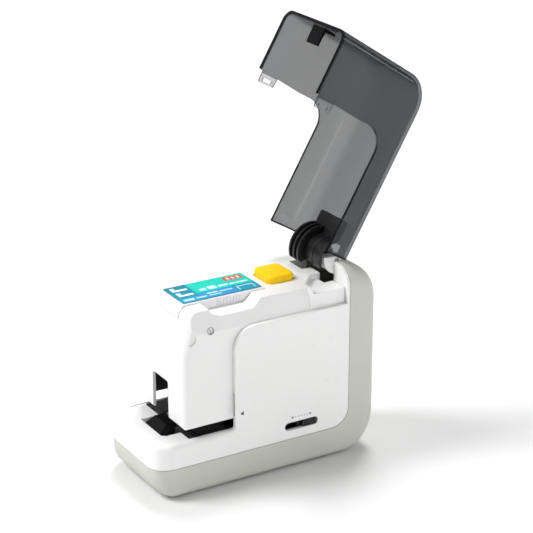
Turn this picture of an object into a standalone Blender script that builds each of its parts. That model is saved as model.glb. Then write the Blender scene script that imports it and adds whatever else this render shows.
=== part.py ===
"""Compact electric stapler, modelled as an assembly of separate pieces.

Design frame used while modelling: millimetres, X to the right, Y from the
front face of the foot towards the rear, Z up from the floor. The function
emit() places every piece in the world frame in metres, whose origin is on the
floor in the middle of the whole object's outline, cover open.
"""
import bpy
import bmesh
import math
from mathutils import Vector, Matrix

# ---------------------------------------------------------------- dimensions
MM = 0.001
GAP = 0.3                    # clearance between neighbouring pieces
BODY_W = 66.0                # overall width
BODY_L = 158.0               # foot front face to rear face
BODY_BOTTOM = 1.0            # casing underside above the floor
BODY_TOP = 124.1             # top of the rear casing
WALL = 2.4                   # casing wall
ORIGIN_Y = 94.4              # world origin behind the foot's front face
SEAM_Z = 20.6                # grey and white casings meet, foot
SEAM_Y = 135.0               # grey and white casings meet, rear
FOOT_TOP = 36.6
STEP_Y = 54.0                # side panels start here
LEDGE_Z = 101.9              # top edge of the side panels
FRAME_Y = 133.0              # rear edge of the recess that the cover fills
CORE_HALF = 30.0             # half width of the head casing
HEAD_FRONT = 21.0
HEAD_BOTTOM = 43.0
DECK_Z = 115.2
HINGE_Y = 135.5              # cover hinge axis
HINGE_Z = 124.5
COVER_OPEN = 120.4           # degrees from closed to the open stop
COVER_FRONT = 15.4           # front of the cover at its top, closed
COVER_LIP = 11.5             # front of the cover at its lower edge, closed
COVER_TOP = 123.9
COVER_WALL = 1.9
COVER_REAR = 132.7
COVER_SKIRT = 102.2
COVER_CHIN = 45.0            # lower edge of the cover's front part
CARTRIDGE_HALF = 14.5
CARTRIDGE_FRONT = 29.6
CARTRIDGE_REAR = 85.5
BUTTON_Y = 100.3
BUTTON_HALF = 11.0           # across
BUTTON_LONG = 9.5            # front to rear, half
BUTTON_TOP = 119.7
SLOT_Y = (88.8, 112.4)       # depth slider slot in the right side
SLOT_Z = 29.2
KNOB_Y = 106.4
CAM_Y, CAM_Z = 92.0, 66.0    # main cam gear axis
IDLER_Y, IDLER_Z = 92.0, 40.0
MOTOR_Y, MOTOR_Z = 111.0, 40.0
LEVER_Y, LEVER_Z = 64.0, 76.0
CAM_LOW, CAM_RISE = 8.0, 4.5 # cam radius at rest and its rise over half a turn
CAM_TEETH, IDLER_SMALL, IDLER_BIG, MOTOR_TEETH = 34, 12, 28, 10
CELL_D, CELL_L = 14.2, 48.8
CELL_Z = 12.4
SCREWS = [(-21.5, 42.0), (21.5, 42.0), (-9.0, 133.0), (9.0, 133.0)]
ARC = 5                      # segments in a quarter of a large round corner
RING = 4                     # steps in the rounding of an edge

# ------------------------------------------------------------------- scene
for old in list(bpy.data.objects):
    bpy.data.objects.remove(old, do_unlink=True)
root_coll = bpy.context.scene.collection
PARTS = bpy.data.collections.new("electric_stapler")
CUTS = bpy.data.collections.new("cutters")
root_coll.children.link(PARTS)
root_coll.children.link(CUTS)


def material(name, color, rough, metal=0.0, alpha=1.0):
    m = bpy.data.materials.new(name)
    m.use_nodes = True
    p = m.node_tree.nodes["Principled BSDF"]
    p.inputs["Base Color"].default_value = (*color, 1.0)
    p.inputs["Roughness"].default_value = rough
    p.inputs["Metallic"].default_value = metal
    p.inputs["Alpha"].default_value = alpha
    m.diffuse_color = (*color, 1.0)
    return m


WHITE = material("white_casing", (0.86, 0.86, 0.85), 0.35)
GREY = material("grey_casing", (0.55, 0.55, 0.51), 0.42)
BLACK = material("black_plastic", (0.015, 0.015, 0.017), 0.3)
SMOKE = material("smoke_plastic", (0.12, 0.13, 0.14), 0.08, 0.0, 0.6)
YELLOW = material("yellow_plastic", (0.93, 0.62, 0.02), 0.35)
LABEL = material("printed_label", (0.05, 0.45, 0.55), 0.4)
STEEL = material("bright_steel", (0.62, 0.63, 0.65), 0.25, 1.0)
ZINC = material("zinc_plate", (0.5, 0.51, 0.53), 0.4, 1.0)
NYLON = material("gear_nylon", (0.75, 0.73, 0.66), 0.45)
RUBBER = material("grey_rubber", (0.12, 0.12, 0.12), 0.85)
BOARD = material("circuit_board", (0.03, 0.25, 0.1), 0.5)
CELL = material("cell_wrap", (0.1, 0.25, 0.35), 0.35, 0.3)
DARK = material("dark_tray", (0.06, 0.06, 0.065), 0.5)


# ------------------------------------------------------------- mesh helpers
def emit(name, bm, mat=None, origin=(0, 0, 0), coll=None, turn=0.0, smooth=True):
    """Mesh in design millimetres -> object whose origin is the given point."""
    o = Vector(origin)
    bmesh.ops.translate(bm, verts=bm.verts, vec=-o)
    bmesh.ops.scale(bm, verts=bm.verts, vec=(MM, MM, MM))
    bmesh.ops.recalc_face_normals(bm, faces=bm.faces)
    me = bpy.data.meshes.new(name)
    bm.to_mesh(me)
    bm.free()
    ob = bpy.data.objects.new(name, me)
    ob.location = Vector((o.x, o.y - ORIGIN_Y, o.z)) * MM
    ob.rotation_euler = (turn, 0, 0)
    (coll or PARTS).objects.link(ob)
    if mat:
        me.materials.append(mat)
    if smooth:
        me.shade_smooth()
        me.set_sharp_from_angle(angle=math.radians(35))
    if coll is CUTS:
        ob.hide_render = True
        ob.display_type = 'WIRE'
    return ob


def cut(ob, *cutters, op='DIFFERENCE'):
    for c in cutters:
        m = ob.modifiers.new(c.name, 'BOOLEAN')
        m.operation = op
        m.solver = 'EXACT'
        m.object = c
    return ob


def bevel(ob, width, segs=1, angle=40):
    m = ob.modifiers.new("edge", 'BEVEL')
    m.width = width * MM
    m.segments = segs
    m.limit_method = 'ANGLE'
    m.angle_limit = math.radians(angle)
    return ob


def bm_box(x0, x1, y0, y1, z0, z1, bm=None):
    bm = bm or bmesh.new()
    g = bmesh.ops.create_cube(bm, size=1.0)
    bmesh.ops.scale(bm, verts=g["verts"], vec=(x1 - x0, y1 - y0, z1 - z0))
    bmesh.ops.translate(bm, verts=g["verts"], vec=((x0 + x1) / 2, (y0 + y1) / 2, (z0 + z1) / 2))
    return bm


def bm_cyl(axis, c, r, length, n=16, r2=None, bm=None, phase=0.0):
    """Cylinder or cone centred on c along 'X', 'Y' or 'Z'."""
    bm = bm or bmesh.new()
    g = bmesh.ops.create_cone(bm, cap_ends=True, segments=n, radius1=r,
                              radius2=r if r2 is None else r2, depth=length)
    rot = Matrix.Rotation(phase, 3, 'Z')
    if axis == 'X':
        rot = Matrix.Rotation(math.pi / 2, 3, 'Y') @ rot
    elif axis == 'Y':
        rot = Matrix.Rotation(-math.pi / 2, 3, 'X') @ rot
    bmesh.ops.rotate(bm, verts=g["verts"], matrix=rot)
    bmesh.ops.translate(bm, verts=g["verts"], vec=c)
    return bm


def box(name, dims, mat, bev=0.0, segs=1, origin=None, coll=None):
    o = origin or ((dims[0] + dims[1]) / 2, (dims[2] + dims[3]) / 2, (dims[4] + dims[5]) / 2)
    ob = emit(name, bm_box(*dims), mat, o, coll, smooth=False)
    if bev:
        bevel(ob, bev, segs)
    return ob


def cutter_box(name, *dims):
    return box(name, dims, None, coll=CUTS)


def cyl(name, axis, c, r, length, mat, n=16, bev=0.0, coll=None, origin=None, r2=None):
    ob = emit(name, bm_cyl(axis, c, r, length, n, r2), mat, origin or c, coll)
    if bev:
        bevel(ob, bev)
    return ob


def fillet(corners):
    """Closed outline from (u, v, radius, segments[, normal]) corners.
    Returns [(u, v, nu, nv)], the outline run anticlockwise."""
    n = len(corners)
    area = sum(corners[i][0] * corners[(i + 1) % n][1] - corners[(i + 1) % n][0] * corners[i][1]
               for i in range(n))
    if area < 0:
        corners = corners[::-1]
    out = []
    for i, c in enumerate(corners):
        p = Vector((c[0], c[1]))
        a = (Vector(corners[i - 1][:2]) - p)
        b = (Vector(corners[(i + 1) % n][:2]) - p)
        a.normalize()
        b.normalize()
        convex = (-a.x) * b.y - (-a.y) * b.x > 0
        if len(c) > 4 and c[4]:
            out.append((p.x, p.y, c[4][0], c[4][1]))
            continue
        half = math.acos(max(-1.0, min(1.0, a.dot(b)))) / 2
        if c[2] <= 0:
            nrm = -(a + b) if convex else (a + b)
            nrm.normalize()
            k = 1.0 / max(0.2, math.sin(half))
            out.append((p.x, p.y, nrm.x * k, nrm.y * k))
            continue
        t = c[2] / math.tan(half)
        ctr = p + (a + b).normalized() * (c[2] / math.sin(half))
        s = p + a * t - ctr
        e = p + b * t - ctr
        tot = s.angle_signed(e)
        for k in range(c[3] + 1):
            f = k / c[3]
            v = s.copy()
            v.rotate(Matrix.Rotation(-tot * f, 2))
            q = ctr + v
            nn = v.normalized() if convex else -v.normalized()
            out.append((q.x, q.y, nn.x, nn.y))
    return out


def bm_slab(outline, half, radius, steps=RING, x0=None):
    """Side outline (Y, Z) carried across X from -half to +half, with the edges
    to the two flat sides rounded by radius(y, z, ny, nz)."""
    bm = bmesh.new()
    rows = []
    ks = list(range(steps, -1, -1))
    for side, seq in ((-1, ks), (1, ks[::-1])):
        for k in seq:
            t = math.pi / 2 * k / steps
            row = []
            for (y, z, ny, nz) in outline:
                r = radius(y, z, ny, nz)
                x = side * (half - r + r * math.sin(t))
                d = r * (1 - math.cos(t))
                row.append(bm.verts.new((x, y - ny * d, z - nz * d)))
            rows.append(row)
    n = len(outline)
    for a, b in zip(rows[:-1], rows[1:]):
        for i in range(n):
            j = (i + 1) % n
            bm.faces.new((a[i], a[j], b[j], b[i]))
    bm.faces.new(rows[0])
    bm.faces.new(rows[-1][::-1])
    bmesh.ops.remove_doubles(bm, verts=bm.verts, dist=0.004)
    bmesh.ops.dissolve_degenerate(bm, edges=bm.edges, dist=0.003)
    return bm


def bm_prism(axis, pts, lo, hi):
    """Flat outline made into a plate along an axis. pts are (Y,Z) for X,
    (X,Z) for Y and (X,Y) for Z."""
    bm = bmesh.new()
    vs = []
    for p in pts:
        u, v = p[0], p[1]
        vs.append(bm.verts.new({'X': (lo, u, v), 'Y': (u, lo, v), 'Z': (u, v, lo)}[axis]))
    f = bm.faces.new(vs)
    g = bmesh.ops.extrude_face_region(bm, geom=[f])
    d = {'X': (hi - lo, 0, 0), 'Y': (0, hi - lo, 0), 'Z': (0, 0, hi - lo)}[axis]
    bmesh.ops.translate(bm, verts=[e for e in g["geom"] if isinstance(e, bmesh.types.BMVert)], vec=d)
    bmesh.ops.remove_doubles(bm, verts=bm.verts, dist=0.002)
    return bm


def prism(name, axis, pts, lo, hi, mat, bev=0.0, segs=1, origin=None, coll=None):
    if origin is None:
        u = sum(p[0] for p in pts) / len(pts)
        v = sum(p[1] for p in pts) / len(pts)
        m = (lo + hi) / 2
        origin = {'X': (m, u, v), 'Y': (u, m, v), 'Z': (u, v, m)}[axis]
    ob = emit(name, bm_prism(axis, pts, lo, hi), mat, origin, coll, smooth=bool(bev))
    if bev:
        bevel(ob, bev, segs)
    return ob


def rrect(u0, u1, v0, v1, r, n=4):
    return [(p[0], p[1]) for p in fillet([(u0, v0, r, n), (u1, v0, r, n), (u1, v1, r, n), (u0, v1, r, n)])]


def arc_pts(cy, cz, r, a0, a1, n):
    return [(cy + r * math.cos(math.radians(a0 + (a1 - a0) * k / n)),
             cz + r * math.sin(math.radians(a0 + (a1 - a0) * k / n))) for k in range(n + 1)]


def lerp_r(ny, nz, front, rear, up, down):
    """Edge rounding blended by the direction that the surface faces."""
    w = [(max(0, -ny) ** 2, front), (max(0, ny) ** 2, rear), (max(0, nz) ** 2, up), (max(0, -nz) ** 2, down)]
    s = sum(a for a, _ in w) or 1.0
    return sum(a * b for a, b in w) / s


# ---------------------------------------------------------- grey base shell
def base_radius(y, z, ny, nz):
    if abs(z - SEAM_Z) < 0.01 and ny > -0.5 and y < SEAM_Y:
        return 0.0
    if y > 20 and SEAM_Z - 0.01 < z < BODY_TOP - 0.5 and y < SEAM_Y + 0.01:
        return 0.0
    return lerp_r(ny, nz, 12.5, 12.5, 12.0, 5.0)


base_outline = fillet([
    (0, SEAM_Z, 0, 0, (-1, 0)), (0, BODY_BOTTOM, 15, ARC), (BODY_L, BODY_BOTTOM, 25, ARC + 1),
    (BODY_L, BODY_TOP, 23, ARC + 1), (SEAM_Y, BODY_TOP, 0, 0, (0, 1)), (SEAM_Y, SEAM_Z, 12, ARC)])
base = emit("base_shell", bm_slab(base_outline, BODY_W / 2, base_radius), GREY)


def inner_radius(y, z, ny, nz):
    return lerp_r(ny, nz, 10.1, 10.1, 9.6, 0.9)


base_in = fillet([(WALL, 60, 0, 0, (-1, 0)), (WALL, 4.6, 11, ARC), (BODY_L - WALL, 4.6, 21.5, ARC),
                  (BODY_L - WALL, BODY_TOP - WALL, 20.6, ARC), (110, BODY_TOP - WALL, 0, 0, (0, 1)), (110, 60, 0, 0, (0, 1))])
cut(base,
    emit("cut_base_inside", bm_slab(base_in, BODY_W / 2 - WALL, inner_radius, 3), coll=CUTS),
    cutter_box("cut_door_recess", -28.9, 28.9, 52.0, 123.0, 0.0, 2.9),
    cutter_box("cut_door_opening", -28.0, 28.0, 56.0, 110.0, 2.0, 6.0),
    emit("cut_dc_hole", bm_cyl('Y', (-14, 156, 34), 4.4, 12, 16), coll=CUTS),
    cutter_box("cut_hinge_notch", -17.0, 17.0, 134.0, 139.4, 107.5, 130.0),
    *[emit("cut_foot_%d" % i, bm_cyl('Z', (sx * 21.0, y, 0.8), 5.3, 1.8, 16), coll=CUTS)
      for i, (sx, y) in enumerate([(-1, 25), (1, 25), (-1, 136), (1, 136)])],
    *[emit("cut_screw_%d" % i, bm_cyl('Z', (x, y, 1.0), 2.9, 4, 10), coll=CUTS) for i, (x, y) in enumerate(SCREWS)],
    *[emit("cut_screw_hole_%d" % i, bm_cyl('Z', (x, y, 4.0), 1.5, 6, 8), coll=CUTS) for i, (x, y) in enumerate(SCREWS)])


# --------------------------------------------------------- white body shell
def body_radius(y, z, ny, nz):
    if z < SEAM_Z + GAP + 0.01 and ny > -0.5 and y < SEAM_Y - 12:
        return 0.0
    if z > BODY_TOP - 0.5:
        return 12.0
    if y > SEAM_Y - 14 and z < LEDGE_Z - 0.5:
        return 0.0
    if y > FRAME_Y - 0.01:
        return 0.0
    if y < STEP_Y - 4:
        return 3.6 if nz > 0 else 0.0
    if y < STEP_Y - 0.01:
        return 2.0
    return 0.9


JOIN_Y = 40.0                # the foot's rounded nose carries on into the side panels here
body_outline = fillet([
    (JOIN_Y, SEAM_Z + GAP, 0, 0, (0, -1)), (JOIN_Y, FOOT_TOP, 0, 0, (0, 1)), (STEP_Y, FOOT_TOP, 2.5, 2),
    (STEP_Y, LEDGE_Z, 14, ARC + 1), (FRAME_Y, LEDGE_Z, 0, 0, (0, 1)), (FRAME_Y, BODY_TOP, 0, 0, (0, 1)),
    (SEAM_Y - GAP, BODY_TOP, 0, 0, (0, 1)), (SEAM_Y - GAP, SEAM_Z + GAP, 12, ARC)])


def bm_foot(inset, rear, z0, z1, corner, edge, steps=RING, closed=True, bm=None):
    """Nose of the foot: plan outline with round front corners, carried up and
    rounded over at the top edge."""
    bm = bm or bmesh.new()
    hw = BODY_W / 2 - inset
    plan = [(-hw, rear, -1, 0)]
    for k in range(ARC + 2):
        a = math.pi / 2 * k / (ARC + 1)
        plan.append((-hw + corner - corner * math.cos(a), inset + corner - corner * math.sin(a), -math.cos(a), -math.sin(a)))
    plan += [(-x, y, -nx, ny) for x, y, nx, ny in plan[::-1]]
    rows = [[bm.verts.new((x, y, z0)) for x, y, nx, ny in plan]]
    for k in range(steps + 1):
        b = math.pi / 2 * k / steps
        d, z = edge * (1 - math.cos(b)), z1 - edge + edge * math.sin(b)
        rows.append([bm.verts.new((x - nx * d, y - ny * d, z)) for x, y, nx, ny in plan])
    for a, b in zip(rows[:-1], rows[1:]):
        for i in range(len(plan) - 1):
            bm.faces.new((a[i], a[i + 1], b[i + 1], b[i]))
    bm.faces.new(rows[0][::-1])
    bm.faces.new(rows[-1])
    if closed:
        bm.faces.new([r[0] for r in rows] + [r[-1] for r in rows[::-1]])
    return bm


body_bm = bm_slab(body_outline, BODY_W / 2, body_radius)
bmesh.ops.delete(body_bm, geom=[f for f in body_bm.faces if all(abs(v.co.y - JOIN_Y) < 0.001 for v in f.verts)], context='FACES')
bm_foot(0.0, JOIN_Y, SEAM_Z + GAP, FOOT_TOP, 12.5, 3.6, closed=False, bm=body_bm)
bmesh.ops.remove_doubles(body_bm, verts=body_bm.verts, dist=0.01)
body = emit("body_shell", body_bm, WHITE)
TABLE_HALF = 28.6
TABLE_Y = 25.0
cut(body,
    emit("cut_foot_inside", bm_foot(WALL, 70.0, 5.0, 27.4, 10.1, 1.5, 2), coll=CUTS),
    cutter_box("cut_foot_inside_rear", -30.6, 30.6, TABLE_Y - 0.6, 70, 5.2, FOOT_TOP - WALL),
    emit("cut_foot_recess", bm_prism('Z', rrect(-29.2, 29.2, 13.9, 58.0, 3.0, 3), 36.0, 45.0), coll=CUTS),
    cutter_box("cut_body_core", -CORE_HALF - GAP, CORE_HALF + GAP, STEP_Y - 1.0, FRAME_Y, FOOT_TOP - WALL, 140),
    cutter_box("cut_body_under", -30.6, 30.6, 60, 136, 5, 100.0),
    emit("cut_wedge_seat", bm_prism('Z', rrect(-10.1, 17.9, 12.0, TABLE_Y + 4, 2.0, 2), 29.9, 60), coll=CUTS),
    cutter_box("cut_table_seat", -TABLE_HALF - GAP, TABLE_HALF + GAP, TABLE_Y - GAP, STEP_Y + 5, 25, 60),
    cutter_box("cut_tab_slot_r", 30.0, 32.2, STEP_Y - 2, STEP_Y + 8.2, 45.4, 60.4),
    cutter_box("cut_tab_slot_l", -32.2, -30.0, STEP_Y - 2, STEP_Y + 8.2, 45.4, 60.4),
    emit("cut_slider_slot", bm_prism('X', rrect(SLOT_Y[0], SLOT_Y[1], SLOT_Z - 2.6, SLOT_Z + 2.6, 2.4, 3), 28, 36), coll=CUTS),
    cutter_box("cut_frame_notch", -17.0, 17.0, 131.0, 137.0, 98.0, 130.0))


# ------------------------------------------------------- white head casing
def head_outline(off=0.0):
    """Side outline of the head casing: upright front, leaning back at the top."""
    f = HEAD_FRONT + off
    return fillet([
        (f, HEAD_BOTTOM + off, 1.2, 1), (f, 91.0, 60.0, 3), (f + 7.2, DECK_Z - off, 6.0, 3),
        (FRAME_Y - GAP, DECK_Z - off, 0, 0, (0, 1)), (FRAME_Y - GAP, 36.0, 0, 0, (0, -1)),
        (STEP_Y + 9, 36.0, 0, 0, (0, -1)), (STEP_Y + 3, HEAD_BOTTOM + off, 2, 1)])


def head_radius(y, z, ny, nz):
    if y > FRAME_Y - 1 or z < HEAD_BOTTOM - 1 or nz < -0.6:
        return 0.6
    if nz > 0.2 and y < 60:
        return 5.5
    return lerp_r(ny, nz, 4.5, 0.6, 5.0, 0.6)


head = emit("head_cover", bm_slab(head_outline(), CORE_HALF, head_radius, 3), WHITE)
head_in = fillet([(HEAD_FRONT + 2.0, 30, 0, 0, (0, -1)), (HEAD_FRONT + 2.0, 91, 58, 2), (HEAD_FRONT + 7.5, DECK_Z - 7.7, 4, 1),
                  (FRAME_Y + 5, DECK_Z - 7.7, 0, 0, (0, 1)), (FRAME_Y + 5, 30, 0, 0, (0, -1))])
side_wedge = [(CORE_HALF + 6, 150), (25.6, DECK_Z + 0.6), (26.0, DECK_Z - 0.6), (CORE_HALF + 0.4, 101.0), (CORE_HALF + 6, 101.0)]
recess = [(p[0], p[1]) for p in fillet([(44, 130, 0, 0, (0, 1)), (40, 112.5, 3, 1), (47, 110.3, 5, 2),
                                          (70, 110.3, 5, 2), (77.5, 116.5, 3, 1), (78, 130, 0, 0, (0, 1))])]
cut(head,
    emit("cut_head_inside", bm_slab(head_in, CORE_HALF - 2.0, lambda y, z, ny, nz: 2.5 if nz > 0.5 or ny < -0.5 else 0.0, 2), coll=CUTS),
    emit("cut_taper_r", bm_prism('Y', side_wedge, 8, 108.5), coll=CUTS),
    emit("cut_taper_l", bm_prism('Y', [(-u, v) for u, v in side_wedge], 8, 108.5), coll=CUTS),
    cutter_box("cut_window", -9.8, 9.8, HEAD_FRONT - 3, HEAD_FRONT + 6, 35, 67.2),
    cutter_box("cut_cartridge_bay", -CARTRIDGE_HALF - GAP, CARTRIDGE_HALF + GAP, HEAD_FRONT - 4, CARTRIDGE_REAR + GAP, 108.4, 130),
    cutter_box("cut_cartridge_well", -12.3, 12.3, CARTRIDGE_FRONT + 2.1, CARTRIDGE_REAR - 2.1, 100, 116),
    emit("cut_thumb_r", bm_prism('X', recess, CARTRIDGE_HALF - 1, 40), coll=CUTS),
    emit("cut_thumb_l", bm_prism('X', recess, -40, -CARTRIDGE_HALF + 1), coll=CUTS),
    emit("cut_button_hole", bm_prism('Z', rrect(-BUTTON_HALF - GAP, BUTTON_HALF + GAP, BUTTON_Y - BUTTON_LONG - GAP,
         BUTTON_Y + BUTTON_LONG + GAP, 4.5, 3), 105, 125), coll=CUTS),
    cutter_box("cut_hinge_pocket_wide", -17.0, -1.9, 121.9, 140, 99.0, 130),
    cutter_box("cut_hinge_pocket", -2.0, 17.0, 128.0, 140, 99.0, 130),
    cutter_box("cut_hinge_slot", 9.0, 17.0, 125.9, 129, 99.0, 130),
    emit("cut_rear_corner", bm_prism('Z', [(9.0, 140), (9.0, 121.0), (20.0, 110.5), (36.0, 110.5), (36.0, 140)], 111.8, 130), coll=CUTS),
    emit("cut_side_dimple", bm_cyl('X', (31.0, 26.0, 99.8), 3.6, 4.4, 16), coll=CUTS),
    emit("cut_screw_boss", bm_cyl('X', (30.4, 39.6, 103.0), 2.3, 4.4, 12), coll=CUTS),
    emit("cut_screw_pilot", bm_cyl('X', (27.0, 39.6, 103.0), 1.3, 8.0, 8), coll=CUTS))


# ------------------------------------------------------ table, head internals
table = prism("table_block", 'X', [(14.2, 30.2), (27.0, 30.2), (27.0, 27.0), (52.6, 27.0), (52.6, 36.3), (30.5, 36.3),
                                   (30.5, 36.9), (27.8, 37.9), (20.5, 38.1), (14.2, 33.0)], -9.6, 9.6, BLACK)
cut(table, box("join_table_wide", (-TABLE_HALF, TABLE_HALF, TABLE_Y, 52.4, 27.2, 35.8), None, coll=CUTS), op='UNION')
cut(table, cutter_box("cut_clincher_seat", -7.3, 7.3, 27.9, 39.3, 35.2, 40))
clincher = box("clincher_plate", (-7.0, 7.0, 28.2, 39.0, 35.5, 38.4), STEEL, 0.3)
cut(clincher, cutter_box("cut_anvil_groove_l", -5.4, -0.8, 32.0, 33.3, 37.8, 40),
    cutter_box("cut_anvil_groove_r", 0.8, 5.4, 32.0, 33.3, 37.8, 40))
bevel(box("nose_plate", (-9.2, 9.2, HEAD_FRONT + 9.6, HEAD_FRONT + 10.6, 44.2, 92.0), STEEL), 0.3)
magazine = box("magazine_rail", (-7.4, 7.4, 39.4, 86.0, 84.2, 98.2), ZINC)
cut(magazine, cutter_box("cut_rail_inside", -6.2, 6.2, 30, 90, 85.4, 101))
slide = emit("driver_slide", bm_box(-8.6, 8.6, HEAD_FRONT + 12.6, HEAD_FRONT + 17.6, 46.5, 81.5), ZINC, (0, HEAD_FRONT + 15, 64), smooth=False)
cut(slide, cutter_box("cut_lever_slot", -2.8, 2.8, HEAD_FRONT + 5, HEAD_FRONT + 20, 70.0, 78.2))
box("driver_blade", (-5.2, 5.2, HEAD_FRONT + 11.3, HEAD_FRONT + 12.1, 46.8, 70.0), STEEL, origin=(0, HEAD_FRONT + 11.7, 58))

# ---------------------------------------------------------------- cartridge
cart_o = (0, 57.5, 112.0)
cart_pts = [(p[0], p[1]) for p in fillet([(CARTRIDGE_FRONT - 4.2, 108.7, 0, 0, (-1, 0)), (CARTRIDGE_FRONT - 0.4, 116.1, 1.2, 2),
                                          (CARTRIDGE_REAR, 116.1, 1.0, 1), (CARTRIDGE_REAR, 108.7, 0, 0, (1, 0))])]
cart = emit("staple_cartridge", bm_prism('X', cart_pts, -CARTRIDGE_HALF, CARTRIDGE_HALF), WHITE, cart_o, smooth=False)
cart_well = box("join_cartridge_well", (-12.0, 12.0, CARTRIDGE_FRONT + 2.4, CARTRIDGE_REAR - 2.4, 100.4, 110.0), None, coll=CUTS)
cut(cart, cart_well, op='UNION')
cut(cart, cutter_box("cut_cartridge_chamber", -10.6, 10.6, CARTRIDGE_FRONT + 3.8, CARTRIDGE_REAR - 3.8, 98.0, 114.6),
    cutter_box("cut_grip_r", 11.4, 16, 50, 71, 110.0, 113.2), cutter_box("cut_grip_l", -16, -11.4, 50, 71, 110.0, 113.2))
box("cartridge_label", (-13.0, 13.0, 30.6, 84.3, 116.4, 116.7), LABEL)
box("staple_strip", (-4.8, 4.8, 35.0, 80.0, 103.0, 108.6), STEEL)

# ------------------------------------------------------------------- button
btn = prism("eject_button", 'Z', rrect(-BUTTON_HALF, BUTTON_HALF, BUTTON_Y - BUTTON_LONG, BUTTON_Y + BUTTON_LONG, 4.2, 4), 108.8, BUTTON_TOP, YELLOW,
            bev=1.2, segs=2, origin=(0, BUTTON_Y, 110.0))


def coil(name, axis_from, length, r, wire, turns, per, mat, axis='Z', origin=None):
    """Helical spring as a polyline curve."""
    cu = bpy.data.curves.new(name, 'CURVE')
    cu.dimensions = '3D'
    cu.bevel_depth = wire / 2 * MM
    cu.bevel_resolution = 1
    cu.use_fill_caps = True
    cu.resolution_u = 1
    sp = cu.splines.new('POLY')
    n = int(turns * per)
    sp.points.add(n)
    for k in range(n + 1):
        a = 2 * math.pi * k / per
        u, v, w = r * math.cos(a), r * math.sin(a), length * k / n
        p = {'Z': (u, v, w), 'X': (w, u, v), 'Y': (u, w, v)}[axis]
        sp.points[k].co = (p[0] * MM, p[1] * MM, p[2] * MM, 1.0)
    ob = bpy.data.objects.new(name, cu)
    ob.location = Vector((axis_from[0], axis_from[1] - ORIGIN_Y, axis_from[2])) * MM
    cu.materials.append(mat)
    PARTS.objects.link(ob)
    return ob


coil("button_spring", (0, BUTTON_Y, 101.4), 6.2, 3.0, 0.6, 4, 8, STEEL)
box("button_spring_seat", (-8, 8, BUTTON_Y - 8, BUTTON_Y + 8, 99.2, 100.6), DARK)

# ------------------------------------------------------------- depth slider
knob = prism("depth_knob", 'X', rrect(KNOB_Y - 5.0, KNOB_Y + 5.0, SLOT_Z - 2.2, SLOT_Z + 2.2, 1.0, 2), 30.1, 33.0, BLACK,
             origin=(32, KNOB_Y, SLOT_Z))
cut(knob, *[cutter_box("cut_grip_%d" % k, 32.5, 36.0, KNOB_Y - 4.0 + 1.6 * k, KNOB_Y - 3.2 + 1.6 * k, SLOT_Z - 4, SLOT_Z + 4) for k in range(5)])
cut(knob, box("join_knob_plate", (29.3, 30.3, KNOB_Y - 7.5, KNOB_Y + 7.5, SLOT_Z - 3.6, SLOT_Z + 3.6), None, coll=CUTS), op='UNION')
prism("paper_stop", 'Z', [(-20, 65.6), (28.9, 65.6), (28.9, KNOB_Y + 4), (26.5, KNOB_Y + 4), (26.5, 69.4), (-20, 69.4)], 31.2, 34.6, BLACK)

# ------------------------------------------------------------- smoke cover
def cover_outline(w=0.0):
    """Closed position, side view; w insets the faces the wall stands on."""
    f, t = COVER_FRONT + w, COVER_TOP - w
    e = 6.0 if w else 0.0
    lip = COVER_LIP + w - e * (COVER_FRONT - COVER_LIP) / (COVER_TOP - COVER_CHIN)
    return fillet([
        (lip, COVER_CHIN - e, 0, 0, (-1, 0)), (f, t, 20.0 - w, ARC), (COVER_REAR + e, t, 0, 0, (0, 1)),
        (COVER_REAR + e, COVER_SKIRT - e, 0, 0, (0, -1)),
        (STEP_Y - GAP + e, COVER_SKIRT - e, max(1.0, 13.7 - e), ARC),
        (STEP_Y - GAP + e, 80.0, 0, 0, (1, 0)), (STEP_Y - 2.8 + e, COVER_CHIN - e, 0, 0, (0, -1))])


def cover_radius(w):
    def f(y, z, ny, nz):
        if y > STEP_Y - 5 and z < COVER_SKIRT + 0.01:
            return 0.0
        return lerp_r(ny, nz, 7.0 - w, 12.0 - w, 12.0 - w, 0.0)
    return f


hinge_o = (0, HINGE_Y, HINGE_Z)
TURN = -math.radians(COVER_OPEN)
cover = emit("smoke_cover", bm_slab(cover_outline(), BODY_W / 2, cover_radius(0)), SMOKE, hinge_o, turn=TURN)
cover_cut = emit("cut_cover_inside", bm_slab(cover_outline(COVER_WALL), BODY_W / 2 - COVER_WALL, cover_radius(COVER_WALL), 3),
                 None, hinge_o, CUTS, TURN)
cut(cover, cover_cut)
tab_pts = [(STEP_Y - 4.0, 47.4), (STEP_Y + 4.0, 47.6), (STEP_Y + 5.0, 48.8), (STEP_Y + 4.6, 58.4), (STEP_Y + 3.8, 59.3), (STEP_Y - 4.0, 60.0)]
hole_pts = [(STEP_Y + 1.0, 50.2), (STEP_Y + 3.4, 50.2), (STEP_Y + 3.0, 56.6), (STEP_Y + 1.0, 56.6)]
for side in (1, -1):
    lo, hi = sorted((side * 31.1, side * 32.0))
    t = emit("join_tab_%d" % side, bm_prism('X', tab_pts, lo, hi), None, hinge_o, CUTS, TURN)
    cut(cover, t, op='UNION')
    lo, hi = sorted((side * 30.0, side * 34.0))
    cut(cover, emit("cut_tab_%d" % side, bm_prism('X', hole_pts, lo, hi), None, hinge_o, CUTS, TURN))
cut(cover, emit("cut_cover_rear", bm_box(-16.8, 16.8, 126.6, 140, 118, 130), None, hinge_o, CUTS, TURN))
tg = COVER_LIP + COVER_WALL + GAP
tongue = emit("cover_tongue", bm_prism('X', [(tg + 0.3, 48.6), (25.4, 48.9), (25.4, 50.3), (tg + 2.2, 50.6), (tg + 2.4, 58.0), (tg + 0.8, 58.0)], -6.1, 6.1),
              BLACK, hinge_o, turn=TURN, smooth=False)

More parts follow.
